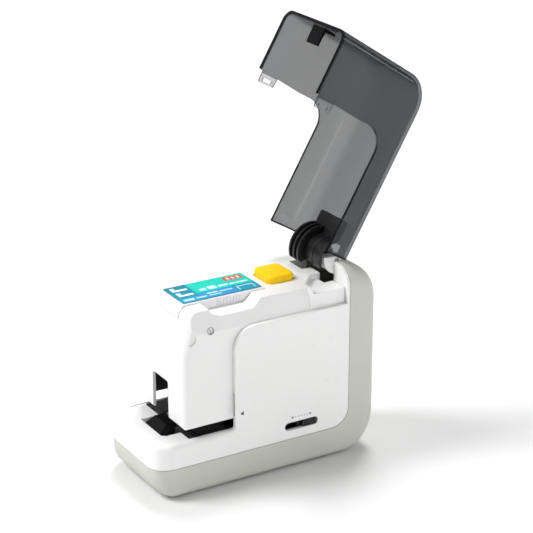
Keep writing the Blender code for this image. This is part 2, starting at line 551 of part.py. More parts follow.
# ------------------------------------------------------------------- hinge
R_IN, R_OUT = 9.6, 11.4
arm = [(HINGE_Y + p[0], HINGE_Z + p[1]) for p in
       arc_pts(0, 0, R_OUT, 200, 325, 10) + arc_pts(0, 0, R_IN, 325, 200, 10)]
bracket = emit("hinge_bracket", bm_prism('X', arm, -13.6, 13.6), BLACK, hinge_o, turn=TURN)
rib = [(HINGE_Y + p[0], HINGE_Z + p[1]) for p in
       arc_pts(0, 0, 12.0, 202, 322, 9) + arc_pts(0, 0, R_IN + 0.4, 322, 202, 8)]
fin = [(HINGE_Y + p[0], HINGE_Z + p[1]) for p in
       arc_pts(0, 0, 16.0, 198, 316, 10) + arc_pts(0, 0, 14.5, 323, 323.5, 1) + arc_pts(0, 0, R_IN + 0.4, 320, 202, 8)]
for i, x in enumerate((-14.4, -9.8, -5.2, 4.4, 12.8)):
    cut(bracket, emit("join_rib_%d" % i, bm_prism('X', fin if x < -2 else rib, x, x + 1.6), None, hinge_o, CUTS, TURN), op='UNION')
ear = [(HINGE_Y + p[0], HINGE_Z + p[1]) for p in
       arc_pts(0, 0, 3.4, -40, 150, 7) + arc_pts(0, 0, 10.4, 212, 240, 2)]
for i, x in enumerate((-8.0, 6.4)):
    cut(bracket, emit("join_ear_%d" % i, bm_prism('X', ear, x, x + 1.6), None, hinge_o, CUTS, TURN), op='UNION')
cut(bracket, emit("join_pad", bm_box(-14.4, 14.4, 112.0, HINGE_Y - 9.7, 120.3, 121.6), None, hinge_o, CUTS, TURN), op='UNION')
cut(bracket, emit("cut_pin_bore", bm_cyl('X', (0, HINGE_Y, HINGE_Z), 1.75, 40, 12), None, hinge_o, CUTS, TURN))
cyl("hinge_pin", 'X', (0, HINGE_Y, HINGE_Z), 1.4, 33.2, STEEL, 12)
for name, x0, x1 in (("hinge_cheek_right", 15.1, 16.7), ("hinge_cheek_left", -16.7, -15.1)):
    disc = [(p[0], p[1]) for p in arc_pts(HINGE_Y, HINGE_Z, 8.7, 150, 335, 10)] + [(HINGE_Y + 5, HINGE_Z - 0.2), (HINGE_Y + 2.6, HINGE_Z + 2.4), (HINGE_Y - 2.6, HINGE_Z + 2.6)]
    ch = prism(name, 'X', disc, x0, x1, WHITE, origin=(x0, HINGE_Y, HINGE_Z))
    s = 1 if x0 > 0 else -1
    lo, hi = sorted((s * 9.4, s * 15.6))
    cut(ch, emit("join_" + name, bm_cyl('X', ((lo + hi) / 2, HINGE_Y, HINGE_Z), 8.4, hi - lo, 20), coll=CUTS), op='UNION')
    cut(ch, cutter_box("cut_" + name, -30, 30, HINGE_Y + 2.9, HINGE_Y + 20, 100, 140),
        cutter_box("cuttop_" + name, -30, 30, HINGE_Y - 20, HINGE_Y + 20, HINGE_Z + 2.6, 150),
        emit("cutbore_" + name, bm_cyl('X', ((lo + hi) / 2, HINGE_Y, HINGE_Z), 1.7, 30, 12), coll=CUTS))
coil("cover_spring", (-4.6, HINGE_Y, HINGE_Z), 9.2, 2.9, 0.7, 5, 8, STEEL, axis='X')

# ------------------------------------------------------- chassis and drive
plate = [(p[0], p[1]) for p in fillet([(57.5, 37, 3, 1), (72, 37, 0, 0), (76, 23.5, 3, 1), (126, 23.5, 3, 1), (126, 90, 6, 1), (112, 97.5, 6, 1), (57.5, 97.5, 3, 1)])]
for name, x in (("chassis_plate_right", 20.0), ("chassis_plate_left", -21.2)):
    pl = prism(name, 'X', plate, x, x + 1.2, ZINC)
    cut(pl, emit("cut_cam_" + name, bm_cyl('X', (x, CAM_Y, CAM_Z), 2.3, 6, 12), coll=CUTS),
        emit("cut_idler_" + name, bm_cyl('X', (x, IDLER_Y, IDLER_Z), 1.8, 6, 12), coll=CUTS),
        emit("cut_lever_" + name, bm_cyl('X', (x, LEVER_Y, LEVER_Z), 1.8, 6, 12), coll=CUTS),
        emit("cut_motor_" + name, bm_cyl('X', (x, MOTOR_Y, MOTOR_Z), 4.0, 6, 12), coll=CUTS))
cyl("cam_shaft", 'X', (0, CAM_Y, CAM_Z), 2.0, 44.0, STEEL, 12)
cyl("idler_shaft", 'X', (0, IDLER_Y, IDLER_Z), 1.5, 44.0, STEEL, 12)
cyl("lever_pin", 'X', (0, LEVER_Y, LEVER_Z), 1.5, 44.0, STEEL, 12)


def gear_pts(cy, cz, teeth, r_tip, r_root, tooth=None, gap=None):
    """Outline of a spur gear with a tooth or a gap at the given angle."""
    phase = tooth * teeth / (2 * math.pi) - 0.25 if tooth is not None else gap * teeth / (2 * math.pi) - 0.75
    pts = []
    for k in range(teeth):
        for f, r in ((0.0, r_root), (0.16, r_tip), (0.34, r_tip), (0.5, r_root)):
            a = 2 * math.pi * (k + f + phase) / teeth
            pts.append((cy + r * math.cos(a), cz + r * math.sin(a)))
    return pts


UP = math.pi / 2             # the idler lies straight below the cam gear
C1 = CAM_Z - IDLER_Z
C2 = MOTOR_Y - IDLER_Y       # the motor lies straight behind the idler
CAM_ROOT, BIG_ROOT = 18.8, 13.0
cam = emit("cam_gear", bm_prism('X', gear_pts(CAM_Y, CAM_Z, CAM_TEETH, CAM_ROOT + 1.5, CAM_ROOT, gap=-UP), 14.0, 18.0), NYLON,
           (12, CAM_Y, CAM_Z), smooth=False)
cam_disc = []
for k in range(24):
    f = k / 12 if k <= 12 else (24 - k) / 12
    a = math.radians(90 - 15 * k)
    r = CAM_LOW + CAM_RISE * f
    cam_disc.append((CAM_Y + r * math.cos(a), CAM_Z + r * math.sin(a)))
cut(cam, emit("join_cam_disc", bm_prism('X', cam_disc, -3.0, 7.8), coll=CUTS), op='UNION')
cut(cam, emit("join_cam_hub", bm_cyl('X', (11, CAM_Y, CAM_Z), 5.0, 8, 16), coll=CUTS), op='UNION')
cut(cam, emit("cut_cam_bore", bm_cyl('X', (8, CAM_Y, CAM_Z), 2.3, 30, 12), coll=CUTS))
idler = emit("idler_gear", bm_prism('X', gear_pts(IDLER_Y, IDLER_Z, IDLER_BIG, BIG_ROOT + 1.3, BIG_ROOT, gap=0.0), 8.5, 11.5), NYLON,
             (12, IDLER_Y, IDLER_Z), smooth=False)
cut(idler, emit("join_idler_pinion", bm_prism('X', gear_pts(IDLER_Y, IDLER_Z, IDLER_SMALL, C1 - CAM_ROOT - 0.35, C1 - CAM_ROOT - 1.9, tooth=UP),
                                              11.3, 18.2), coll=CUTS), op='UNION')
cut(idler, emit("cut_idler_bore", bm_cyl('X', (12, IDLER_Y, IDLER_Z), 1.8, 30, 12), coll=CUTS))
pinion = emit("motor_pinion", bm_prism('X', gear_pts(MOTOR_Y, MOTOR_Z, MOTOR_TEETH, C2 - BIG_ROOT - 0.35, C2 - BIG_ROOT - 1.7, tooth=math.pi),
                                       8.2, 12.0), STEEL, (10, MOTOR_Y, MOTOR_Z), smooth=False)
cut(pinion, emit("cut_pinion_bore", bm_cyl('X', (10, MOTOR_Y, MOTOR_Z), 1.5, 30, 10), coll=CUTS))


def bm_lathe(axis, c, profile, n=16):
    """Turned solid: profile is (radius, height) from one end to the other."""
    bm = bmesh.new()
    vs = [bm.verts.new((r, 0, h)) for r, h in profile]
    es = [bm.edges.new((a, b)) for a, b in zip(vs[:-1], vs[1:])]
    bmesh.ops.spin(bm, geom=vs + es, cent=(0, 0, 0), axis=(0, 0, 1), angle=2 * math.pi, steps=n)
    bmesh.ops.remove_doubles(bm, verts=bm.verts, dist=0.002)
    rot = {'Z': Matrix.Identity(3), 'X': Matrix.Rotation(math.pi / 2, 3, 'Y'), 'Y': Matrix.Rotation(-math.pi / 2, 3, 'X')}[axis]
    bmesh.ops.rotate(bm, verts=bm.verts, matrix=rot)
    bmesh.ops.translate(bm, verts=bm.verts, vec=c)
    return bm


emit("drive_motor", bm_lathe('X', (-19.6, MOTOR_Y, MOTOR_Z), [(0, 0), (3.4, 0), (3.4, 1.6), (10.0, 1.6), (10.5, 2.4), (10.5, 26.0), (10.0, 26.8),
     (3.0, 26.8), (3.0, 27.4), (1.2, 27.4), (1.2, 31.8), (0, 31.8)], 20), ZINC, (-4, MOTOR_Y, MOTOR_Z))
lever = [(33.2, 72.2), (56.0, 72.6), (60.0, 71.4), (64.0, 70.9), (69.0, 72.6), (84.0, 75.6), (88.0, 75.4), (91.0, 74.7), (93.0, 74.7),
         (96.0, 75.8), (96.0, 79.4), (72.0, 79.6), (66.5, 80.8), (61.5, 80.8), (56.0, 78.2), (37.0, 76.0), (33.2, 75.8)]
lv = emit("drive_lever", bm_prism('X', lever, -2.2, 2.2), ZINC, (0, LEVER_Y, LEVER_Z), smooth=False)
cut(lv, emit("cut_lever_bore", bm_cyl('X', (0, LEVER_Y, LEVER_Z), 1.8, 30, 12), coll=CUTS))
coil("lever_spring", (3.4, LEVER_Y, LEVER_Z), 5.2, 3.2, 0.8, 5, 8, STEEL, axis='X')

# -------------------------------------------------- electrics and batteries
board = box("circuit_board", (-25, 25, 129.0, 130.6, 28, 92), BOARD)
box("board_capacitor", (-19, -11, 130.9, 138.5, 60, 74), BLACK, 0.8)
box("paper_sensor", (9, 18, 55.0, 61.0, 38.4, 50.0), BLACK, 0.4)
dc = box("dc_socket", (-18.6, -9.4, 145.8, 155.2, 29.4, 38.6), BLACK, 0.4)
cut(dc, emit("join_dc_barrel", bm_cyl('Y', (-14, 155.6, 34), 4.0, 4.0, 16), coll=CUTS), op='UNION')
cut(dc, emit("cut_dc_bore", bm_cyl('Y', (-14, 156, 34), 2.8, 16, 14), coll=CUTS))
cut(dc, emit("join_dc_pin", bm_cyl('Y', (-14, 151.8, 34), 0.9, 10, 8), coll=CUTS), op='UNION')
tray = box("battery_tray", (-29.9, 29.9, 54.0, 112.0, 5.0, 20.6), DARK)
cut(tray, cutter_box("cut_tray_inside", -29.2, 29.2, 55.0, 111.0, 0, 19.8))
PITCH = CELL_D + 0.4
for i in range(4):
    x = (i - 1.5) * PITCH
    prof = [(0, 0), (6.2, 0), (CELL_D / 2, 0.6), (CELL_D / 2, CELL_L - 1.0), (6.4, CELL_L), (2.7, CELL_L), (2.7, CELL_L + 1.3), (0, CELL_L + 1.3)]
    bm = bm_lathe('Y', (0, 0, 0), prof, 16)
    if i % 2:
        bmesh.ops.rotate(bm, verts=bm.verts, matrix=Matrix.Rotation(math.pi, 3, 'Z'))
        y0 = 108.4
    else:
        y0 = 57.8
    bmesh.ops.translate(bm, verts=bm.verts, vec=(x, y0, CELL_Z))
    emit("battery_cell_%d" % (i + 1), bm, CELL, (x, 83, CELL_Z))


def contact(name, x0, x1, y, springs):
    ob = box(name, (x0, x1, y, y + 0.5, 6.4, 18.4), STEEL)
    for j, x in enumerate(springs):
        s = 1 if y < 80 else -1
        c = emit("join_%s_%d" % (name, j), bm_cyl('Y', (x, y + 0.25 + s * 0.8, CELL_Z), 3.6 if s > 0 else 2.2, 1.4, 10, 2.2 if s > 0 else 3.6), coll=CUTS)
        cut(ob, c, op='UNION')
    return ob


contact("contact_front_left", -28.8, -0.6, 55.4, [-1.5 * PITCH])
contact("contact_front_right", 0.6, 28.8, 55.4, [0.5 * PITCH])
contact("contact_rear_negative", -28.8, -15.2, 110.2, [])
contact("contact_rear_bridge", -14.0, 14.0, 110.2, [-0.5 * PITCH])
contact("contact_rear_positive", 15.2, 28.8, 110.2, [1.5 * PITCH])
door = box("battery_door", (-28.6, 28.6, 52.3, 114.0, 1.2, 2.6), GREY, 0.3)
cut(door, *[cutter_box("cut_door_grip_%d" % k, -8, 8, 60 + 2.6 * k, 61.2 + 2.6 * k, 0, 1.7) for k in range(3)])
for i, (x, y) in enumerate([(-21, 25), (21, 25), (-21, 136), (21, 136)]):
    nm = ("front", "rear")[i // 2] + ("_left", "_right")[i % 2]
    cyl("foot_" + nm, 'Z', (x, y, 0.8), 5.0, 1.6, RUBBER, 16)
for i, (x, y) in enumerate(SCREWS):
    emit("case_screw_%d" % (i + 1), bm_lathe('Z', (x, y, 1.4), [(0, 0), (2.2, 0), (2.6, 0.4), (2.6, 1.4), (1.2, 1.4), (1.2, 12.0), (0, 12.6)], 10), STEEL, (x, y, 3))
emit("head_screw", bm_lathe('X', (22.9, 39.6, 103.0), [(0, 0), (1.0, 0), (1.0, 5.5), (1.9, 5.5), (1.9, 6.3), (0, 6.3)], 10), STEEL, (28.5, 39.6, 103.0))
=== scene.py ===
import math
import bpy
import bmesh
from mathutils import Vector, Matrix


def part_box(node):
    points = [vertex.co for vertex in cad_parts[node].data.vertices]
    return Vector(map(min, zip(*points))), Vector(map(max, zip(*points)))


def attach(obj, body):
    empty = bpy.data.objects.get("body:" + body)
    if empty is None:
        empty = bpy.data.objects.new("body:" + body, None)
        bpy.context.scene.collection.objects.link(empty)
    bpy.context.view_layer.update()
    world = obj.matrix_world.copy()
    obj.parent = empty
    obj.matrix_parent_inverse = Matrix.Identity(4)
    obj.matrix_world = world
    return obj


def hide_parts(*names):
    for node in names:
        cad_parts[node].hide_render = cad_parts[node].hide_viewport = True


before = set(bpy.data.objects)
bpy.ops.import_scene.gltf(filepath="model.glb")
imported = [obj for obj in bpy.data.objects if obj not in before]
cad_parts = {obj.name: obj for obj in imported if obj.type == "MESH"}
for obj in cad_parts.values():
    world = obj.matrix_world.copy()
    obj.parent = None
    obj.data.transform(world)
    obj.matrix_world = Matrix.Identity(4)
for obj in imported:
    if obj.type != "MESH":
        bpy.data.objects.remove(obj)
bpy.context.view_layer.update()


# ------------------------------------------------------------ key dimensions
# Millimetres, in the frame of the foot: Y runs from the foot's front face.
OY = -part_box("base_shell")[0].y * 1000.0
GAP, WALL = 0.3, 2.4
W, L = 66.0, 158.0
BOTTOM, TOP = 1.0, 124.1
SEAM_Z, SEAM_Y = 20.6, 135.0
FOOT_TOP, STEP_Y, LEDGE_Z, FRAME_Y = 36.6, 54.0, 101.9, 133.0
CORE, HEAD_Y, HEAD_Z, DECK = 30.0, 21.0, 43.0, 115.2
HY, HZ, OPEN = 135.5, 124.5, 120.4
C_FRONT, C_LIP, C_TOP, C_WALL, C_REAR, C_SKIRT, C_CHIN = 15.4, 11.5, 123.9, 1.9, 132.7, 102.2, 45.0
CART, CART_F, CART_R = 14.5, 29.6, 85.5
BTN_Y, BTN_X, BTN_L, BTN_TOP = 100.3, 11.0, 9.5, 119.7
SLOT_Y, SLOT_Z, KNOB_Y = (88.8, 112.4), 29.2, 106.4
TABLE_X, TABLE_Y = 28.6, 25.0
ARC, RING = 12, 7
N = 40


# ------------------------------------------------------------- node materials
class Nodes:
    """Short-hand for building a procedural material."""

    def __init__(self, name):
        self.m = bpy.data.materials.new(name)
        self.m.use_nodes = True
        self.t = self.m.node_tree
        self.p = self.t.nodes["Principled BSDF"]
        self.out = self.t.nodes["Material Output"]
        tc = self.t.nodes.new("ShaderNodeTexCoord")
        self.pos = tc.outputs["Object"]

    def add(self, kind, **kw):
        n = self.t.nodes.new(kind)
        for k, v in kw.items():
            setattr(n, k, v)
        return n

    def link(self, a, b):
        self.t.links.new(a, b)

    def noise(self, scale, detail=4.0, rough=0.5, stretch=None, dist=0.0):
        n = self.add("ShaderNodeTexNoise")
        n.inputs["Scale"].default_value = scale
        n.inputs["Detail"].default_value = detail
        n.inputs["Roughness"].default_value = rough
        n.inputs["Distortion"].default_value = dist
        src = self.pos
        if stretch:
            mp = self.add("ShaderNodeMapping")
            mp.inputs["Scale"].default_value = stretch
            self.link(src, mp.inputs["Vector"])
            src = mp.outputs["Vector"]
        self.link(src, n.inputs["Vector"])
        return n.outputs["Fac"]

    def ramp(self, fac, stops):
        r = self.add("ShaderNodeValToRGB")
        el = r.color_ramp.elements
        el[0].position, el[0].color = stops[0][0], (*stops[0][1], 1)
        el[1].position, el[1].color = stops[-1][0], (*stops[-1][1], 1)
        for p, c in stops[1:-1]:
            e = el.new(p)
            e.color = (*c, 1)
        self.link(fac, r.inputs["Fac"])
        return r.outputs["Color"]

    def rng(self, fac, lo, hi, a=0.0, b=1.0):
        r = self.add("ShaderNodeMapRange")
        r.inputs["From Min"].default_value = a
        r.inputs["From Max"].default_value = b
        r.inputs["To Min"].default_value = lo
        r.inputs["To Max"].default_value = hi
        self.link(fac, r.inputs["Value"])
        return r.outputs["Result"]

    def math(self, op, a, b=None):
        n = self.add("ShaderNodeMath", operation=op)
        for i, v in enumerate((a, b)):
            if v is None:
                continue
            if isinstance(v, (int, float)):
                n.inputs[i].default_value = v
            else:
                self.link(v, n.inputs[i])
        return n.outputs["Value"]

    def mix(self, fac, a, b, blend="MIX"):
        n = self.add("ShaderNodeMix", data_type="RGBA", blend_type=blend)
        for sock, v in ((n.inputs[0], fac), (n.inputs[6], a), (n.inputs[7], b)):
            if isinstance(v, (int, float)):
                sock.default_value = v
            elif isinstance(v, tuple):
                sock.default_value = (*v, 1)
            else:
                self.link(v, sock)
        return n.outputs[2]

    def bump(self, height, strength, dist, normal=None):
        b = self.add("ShaderNodeBump")
        b.inputs["Strength"].default_value = strength
        b.inputs["Distance"].default_value = dist
        self.link(height, b.inputs["Height"])
        if normal is not None:
            self.link(normal, b.inputs["Normal"])
        return b.outputs["Normal"]

    def edges(self, lo=0.52, hi=0.62):
        """0 on flats, 1 on worn outer edges."""
        g = self.add("ShaderNodeNewGeometry")
        return self.rng(g.outputs["Pointiness"], 0.0, 1.0, lo, hi)

    def soft(self, radius):
        b = self.add("ShaderNodeBevel", samples=4)
        b.inputs["Radius"].default_value = radius
        return b.outputs["Normal"]


def plastic(name, color, rough, grain=1500.0, grain_bump=0.05, vary=0.03, wear=0.0, coat=0.0, spec=0.5, soft=0.0):
    """Moulded plastic: spark-eroded grain, faint sink and flow variation, handling marks, worn edges."""
    n = Nodes(name)
    big = n.noise(22.0, 3.0, 0.55)
    fine = n.noise(grain, 3.0, 0.6)
    rub = n.noise(95.0, 5.0, 0.65, dist=0.6)
    dark = tuple(c * (1 - vary) for c in color)
    light = tuple(min(1.0, c * (1 + vary)) for c in color)
    col = n.ramp(big, [(0.3, dark), (0.7, light)])
    e = n.edges()
    if wear:
        worn = tuple(min(1.0, c + wear) for c in color)
        col = n.mix(n.math("MULTIPLY", e, n.rng(rub, 0.25, 1.0, 0.35, 0.65)), col, worn)
    n.link(col, n.p.inputs["Base Color"])
    r = n.rng(rub, rough - 0.07, rough + 0.08, 0.3, 0.7)
    n.link(n.math("SUBTRACT", r, n.math("MULTIPLY", e, 0.08)), n.p.inputs["Roughness"])
    base = n.soft(soft) if soft else None
    nb = n.bump(fine, grain_bump, 0.00012, base)
    nb = n.bump(n.noise(60.0, 2.0), 0.05, 0.0004, nb)
    n.link(nb, n.p.inputs["Normal"])
    n.p.inputs["Specular IOR Level"].default_value = spec
    n.p.inputs["Coat Weight"].default_value = coat
    n.p.inputs["Coat Roughness"].default_value = 0.12
    return n.m


def metal(name, color, rough, stretch, wear=0.06, scale=900.0):
    n = Nodes(name)
    grain = n.noise(scale, 4.0, 0.6, stretch)
    blot = n.noise(70.0, 4.0, 0.6)
    col = n.ramp(grain, [(0.3, tuple(c * 0.86 for c in color)), (0.7, tuple(min(1, c * 1.08) for c in color))])
    col = n.mix(n.rng(blot, 0.0, 0.25, 0.45, 0.75), col, tuple(c * 0.78 for c in color))
    n.link(n.mix(n.math("MULTIPLY", n.edges(), 0.6), col, tuple(min(1, c + wear) for c in color)), n.p.inputs["Base Color"])
    n.p.inputs["Metallic"].default_value = 1.0
    n.link(n.rng(grain, rough - 0.07, rough + 0.1, 0.3, 0.7), n.p.inputs["Roughness"])
    n.link(n.bump(grain, 0.12, 0.0002), n.p.inputs["Normal"])
    return n.m


WHITE = plastic("white_casing", (0.83, 0.83, 0.825), 0.36, 1700.0, 0.05, 0.012, 0.03, soft=0.00035)
GREY = plastic("grey_casing", (0.545, 0.55, 0.495), 0.46, 1100.0, 0.12, 0.02, 0.03, soft=0.0003)
BLACK = plastic("black_plastic", (0.007, 0.007, 0.008), 0.3, 1500.0, 0.04, 0.2, 0.04, spec=0.32)
BLACK_SATIN = plastic("black_satin", (0.005, 0.005, 0.006), 0.42, 1500.0, 0.03, 0.2, 0.0, spec=0.1)
YELLOW = plastic("yellow_plastic", (0.97, 0.61, 0.0), 0.4, 1500.0, 0.05, 0.02, 0.03, spec=0.22)
CARTW = plastic("cartridge_white", (0.80, 0.80, 0.82), 0.4, 1500.0, 0.05, 0.02, 0.03)
NYLON = plastic("gear_nylon", (0.74, 0.71, 0.62), 0.48, 900.0, 0.08, 0.05, 0.05)
# Dark tray plastic of the battery tray and spring seat; it is also laid on the white head's inner walls as painted
# shade.
DARK_TRAY_AND_SHADE = plastic("dark_tray", (0.05, 0.05, 0.055), 0.5, 900.0, 0.12, 0.12, 0.05)
RUBBER = plastic("foot_rubber", (0.055, 0.055, 0.055), 0.82, 600.0, 0.3, 0.15, 0.04, spec=0.3)
CELL = plastic("cell_wrap", (0.06, 0.19, 0.27), 0.3, 800.0, 0.05, 0.08, 0.05, coat=0.5)
INK = plastic("mark_ink", (0.025, 0.025, 0.028), 0.55, 1600.0, 0.08, 0.1)
GREYINK = plastic("mark_ink_grey", (0.30, 0.32, 0.35), 0.55, 1600.0, 0.08, 0.1)
STEEL = metal("bright_steel", (0.62, 0.63, 0.65), 0.26, (1.0, 1.0, 0.06))
DARK_STEEL = metal("dark_steel", (0.10, 0.105, 0.12), 0.22, (1.0, 1.0, 0.1), 0.1)
ZINC = metal("zinc_plate", (0.5, 0.51, 0.53), 0.38, (0.3, 1.0, 1.0), scale=500.0)


def smoke(name, tint, alpha, edge_alpha, rough=0.13, gloss=0.5):
    """Transparent smoke plastic. Looked at along the sheet, more of it is in the way, so it goes darker."""
    n = Nodes(name)
    flow = n.noise(16.0, 3.0, 0.5, (1.0, 1.0, 0.4))
    n.link(n.ramp(flow, [(0.3, tuple(c * 0.9 for c in tint)), (0.7, tuple(c * 1.1 for c in tint))]), n.p.inputs["Base Color"])
    lw = n.add("ShaderNodeLayerWeight")
    lw.inputs["Blend"].default_value = 0.32
    f = n.math("POWER", lw.outputs["Facing"], 1.6)
    n.link(n.rng(f, alpha, edge_alpha), n.p.inputs["Alpha"])
    scuff = n.noise(210.0, 6.0, 0.7, dist=0.4)
    n.link(n.rng(scuff, rough - 0.01, rough + 0.03, 0.35, 0.75), n.p.inputs["Roughness"])
    n.link(n.bump(n.noise(34.0, 2.0), 0.012, 0.0006), n.p.inputs["Normal"])
    n.link(n.rng(lw.outputs["Facing"], gloss, 0.01, 0.28, 0.5), n.p.inputs["Specular IOR Level"])
    return n.m


SMOKE = smoke("smoke_plastic", (0.011, 0.018, 0.028), 0.53, 0.995)
SMOKE_EDGE = smoke("smoke_rim", (0.003, 0.003, 0.004), 0.95, 0.99, gloss=0.15)
# Paler, more see-through copy of the smoke plastic for the latch tabs. They are the same smoke sheet, and the pale tint
# is painted light for the highlights they catch.
SMOKE_TAB_PAINTED_LIGHT = smoke("smoke_tab_painted_light", (0.22, 0.235, 0.25), 0.3, 0.9)


def board_material():
    n = Nodes("circuit_board")
    v = n.add("ShaderNodeTexVoronoi", feature="DISTANCE_TO_EDGE")
    v.inputs["Scale"].default_value = 260.0
    n.link(n.pos, v.inputs["Vector"])
    tr = n.rng(v.outputs["Distance"], 1.0, 0.0, 0.02, 0.05)
    n.link(n.mix(tr, (0.012, 0.12, 0.045), (0.03, 0.24, 0.09)), n.p.inputs["Base Color"])
    n.link(n.rng(n.noise(400.0), 0.32, 0.5), n.p.inputs["Roughness"])
    n.link(n.bump(tr, 0.3, 0.0002), n.p.inputs["Normal"])
    return n.m


BOARD = board_material()


def label_material():
    """Printed film with generic colour blocks, staple pictograms and plain rules in place of any lettering."""
    n = Nodes("printed_label")
    lo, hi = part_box("cartridge_label")
    sep = n.add("ShaderNodeSeparateXYZ")
    n.link(n.pos, sep.inputs["Vector"])
    u = n.rng(sep.outputs["Y"], 0.0, 1.0, lo.y, hi.y)      # 0 front, 1 rear
    v = n.rng(sep.outputs["X"], 0.0, 1.0, lo.x, hi.x)      # 0 left, 1 right

    def rect(u0, u1, v0, v1):
        a = n.math("MULTIPLY", n.math("GREATER_THAN", u, u0), n.math("LESS_THAN", u, u1))
        b = n.math("MULTIPLY", n.math("GREATER_THAN", v, v0), n.math("LESS_THAN", v, v1))
        return n.math("MULTIPLY", a, b)

    green = n.ramp(u, [(0.1, (0.0, 0.42, 0.42)), (0.35, (0.0, 0.60, 0.47)), (1.0, (0.0, 0.55, 0.42))])
    teal = n.ramp(v, [(0.0, (0.0, 0.22, 0.30)), (1.0, (0.0, 0.30, 0.44))])
    blue = n.ramp(u, [(0.1, (0.01, 0.33, 0.56)), (0.7, (0.015, 0.27, 0.60))])
    col = n.mix(rect(-1, 2, 0.62, 2), green, blue)
    col = n.mix(rect(-1, 0.27, -1, 0.78), col, teal)
    col = n.mix(rect(0.71, 2, 0.62, 2), col, teal)
    # two upright staple pictograms on the front block
    for v0 in (0.10, 0.42):
        for r in ((0.05, 0.235, v0 + 0.13, v0 + 0.22), (0.05, 0.10, v0, v0 + 0.22)):
            col = n.mix(rect(*r), col, (0.88, 0.92, 0.93))
    # plain rules where small print would be
    for r in ((0.34, 0.42, 0.43, 0.54), (0.45, 0.55, 0.38, 0.56), (0.58, 0.70, 0.44, 0.53), (0.72, 0.95, 0.46, 0.53)):
        col = n.mix(rect(*r), col, (0.62, 0.90, 0.86))
    for r in ((0.04, 0.17, 0.82, 0.94), (0.20, 0.33, 0.84, 0.91), (0.36, 0.50, 0.72, 0.80), (0.52, 0.68, 0.74, 0.80), (0.36, 0.52, 0.86, 0.91)):
        col = n.mix(rect(*r), col, (0.45, 0.74, 0.85))
    # outlined staple on the rear block
    for r in ((0.74, 0.95, 0.70, 0.745), (0.74, 0.755, 0.70, 0.93), (0.935, 0.95, 0.70, 0.93)):
        col = n.mix(rect(*r), col, (0.42, 0.74, 0.84))
    # warm block with a plain dot row
    col = n.mix(rect(0.72, 0.955, 0.08, 0.30), col, (0.60, 0.07, 0.03))
    for u0 in (0.76, 0.825, 0.89):
        col = n.mix(rect(u0, u0 + 0.035, 0.13, 0.25), col, (0.86, 0.80, 0.76))
    ink = n.noise(900.0, 2.0, 0.5)
    col = n.mix(n.rng(ink, 0.0, 0.04, 0.45, 0.7), col, (1.0, 1.0, 1.0))
    n.link(col, n.p.inputs["Base Color"])
    n.link(n.rng(n.noise(140.0, 4.0), 0.24, 0.38), n.p.inputs["Roughness"])
    n.link(n.bump(n.noise(120.0, 3.0), 0.06, 0.0002), n.p.inputs["Normal"])
    n.p.inputs["Specular IOR Level"].default_value = 0.3
    return n.m


LABEL = label_material()


# --------------------------------------------------------------- mesh helpers
def bm_box(x0, x1, y0, y1, z0, z1):
    bm = bmesh.new()
    g = bmesh.ops.create_cube(bm, size=1.0)
    bmesh.ops.scale(bm, verts=g["verts"], vec=(x1 - x0, y1 - y0, z1 - z0))
    bmesh.ops.translate(bm, verts=g["verts"], vec=((x0 + x1) / 2, (y0 + y1) / 2, (z0 + z1) / 2))
    return bm


def bm_cyl(axis, c, r, length, n=N, r2=None):
    bm = bmesh.new()
    g = bmesh.ops.create_cone(bm, cap_ends=True, segments=n, radius1=r, radius2=r if r2 is None else r2, depth=length)
    rot = {'Z': Matrix.Identity(3), 'X': Matrix.Rotation(math.pi / 2, 3, 'Y'), 'Y': Matrix.Rotation(-math.pi / 2, 3, 'X')}[axis]
    bmesh.ops.rotate(bm, verts=g["verts"], matrix=rot)
    bmesh.ops.translate(bm, verts=g["verts"], vec=c)
    return bm


def bm_lathe(axis, c, profile, n=N):
    bm = bmesh.new()
    vs = [bm.verts.new((r, 0, h)) for r, h in profile]
    es = [bm.edges.new((a, b)) for a, b in zip(vs[:-1], vs[1:])]
    bmesh.ops.spin(bm, geom=vs + es, cent=(0, 0, 0), axis=(0, 0, 1), angle=2 * math.pi, steps=n)
    bmesh.ops.remove_doubles(bm, verts=bm.verts, dist=0.002)
    rot = {'Z': Matrix.Identity(3), 'X': Matrix.Rotation(math.pi / 2, 3, 'Y'), 'Y': Matrix.Rotation(-math.pi / 2, 3, 'X')}[axis]
    bmesh.ops.rotate(bm, verts=bm.verts, matrix=rot)
    bmesh.ops.translate(bm, verts=bm.verts, vec=c)
    bmesh.ops.recalc_face_normals(bm, faces=bm.faces)
    return bm


def fillet(corners):
    """Closed outline from (u, v, radius, segments[, normal]) -> [(u, v, nu, nv)], anticlockwise."""
    n = len(corners)
    area = sum(corners[i][0] * corners[(i + 1) % n][1] - corners[(i + 1) % n][0] * corners[i][1] for i in range(n))
    if area < 0:
        corners = corners[::-1]
    out = []
    for i, c in enumerate(corners):
        p = Vector((c[0], c[1]))
        a = Vector(corners[i - 1][:2]) - p
        b = Vector(corners[(i + 1) % n][:2]) - p
        a.normalize()
        b.normalize()
        convex = (-a.x) * b.y - (-a.y) * b.x > 0
        if len(c) > 4 and c[4]:
            out.append((p.x, p.y, c[4][0], c[4][1]))
            continue
        half = math.acos(max(-1.0, min(1.0, a.dot(b)))) / 2
        if c[2] <= 0:
            nrm = -(a + b) if convex else (a + b)
            nrm.normalize()
            k = 1.0 / max(0.2, math.sin(half))
            out.append((p.x, p.y, nrm.x * k, nrm.y * k))
            continue
        t = c[2] / math.tan(half)
        ctr = p + (a + b).normalized() * (c[2] / math.sin(half))
        s = p + a * t - ctr
        e = p + b * t - ctr
        tot = s.angle_signed(e)
        for k in range(c[3] + 1):
            v = s.copy()
            v.rotate(Matrix.Rotation(-tot * k / c[3], 2))
            q = ctr + v
            nn = v.normalized() if convex else -v.normalized()
            out.append((q.x, q.y, nn.x, nn.y))
    return out


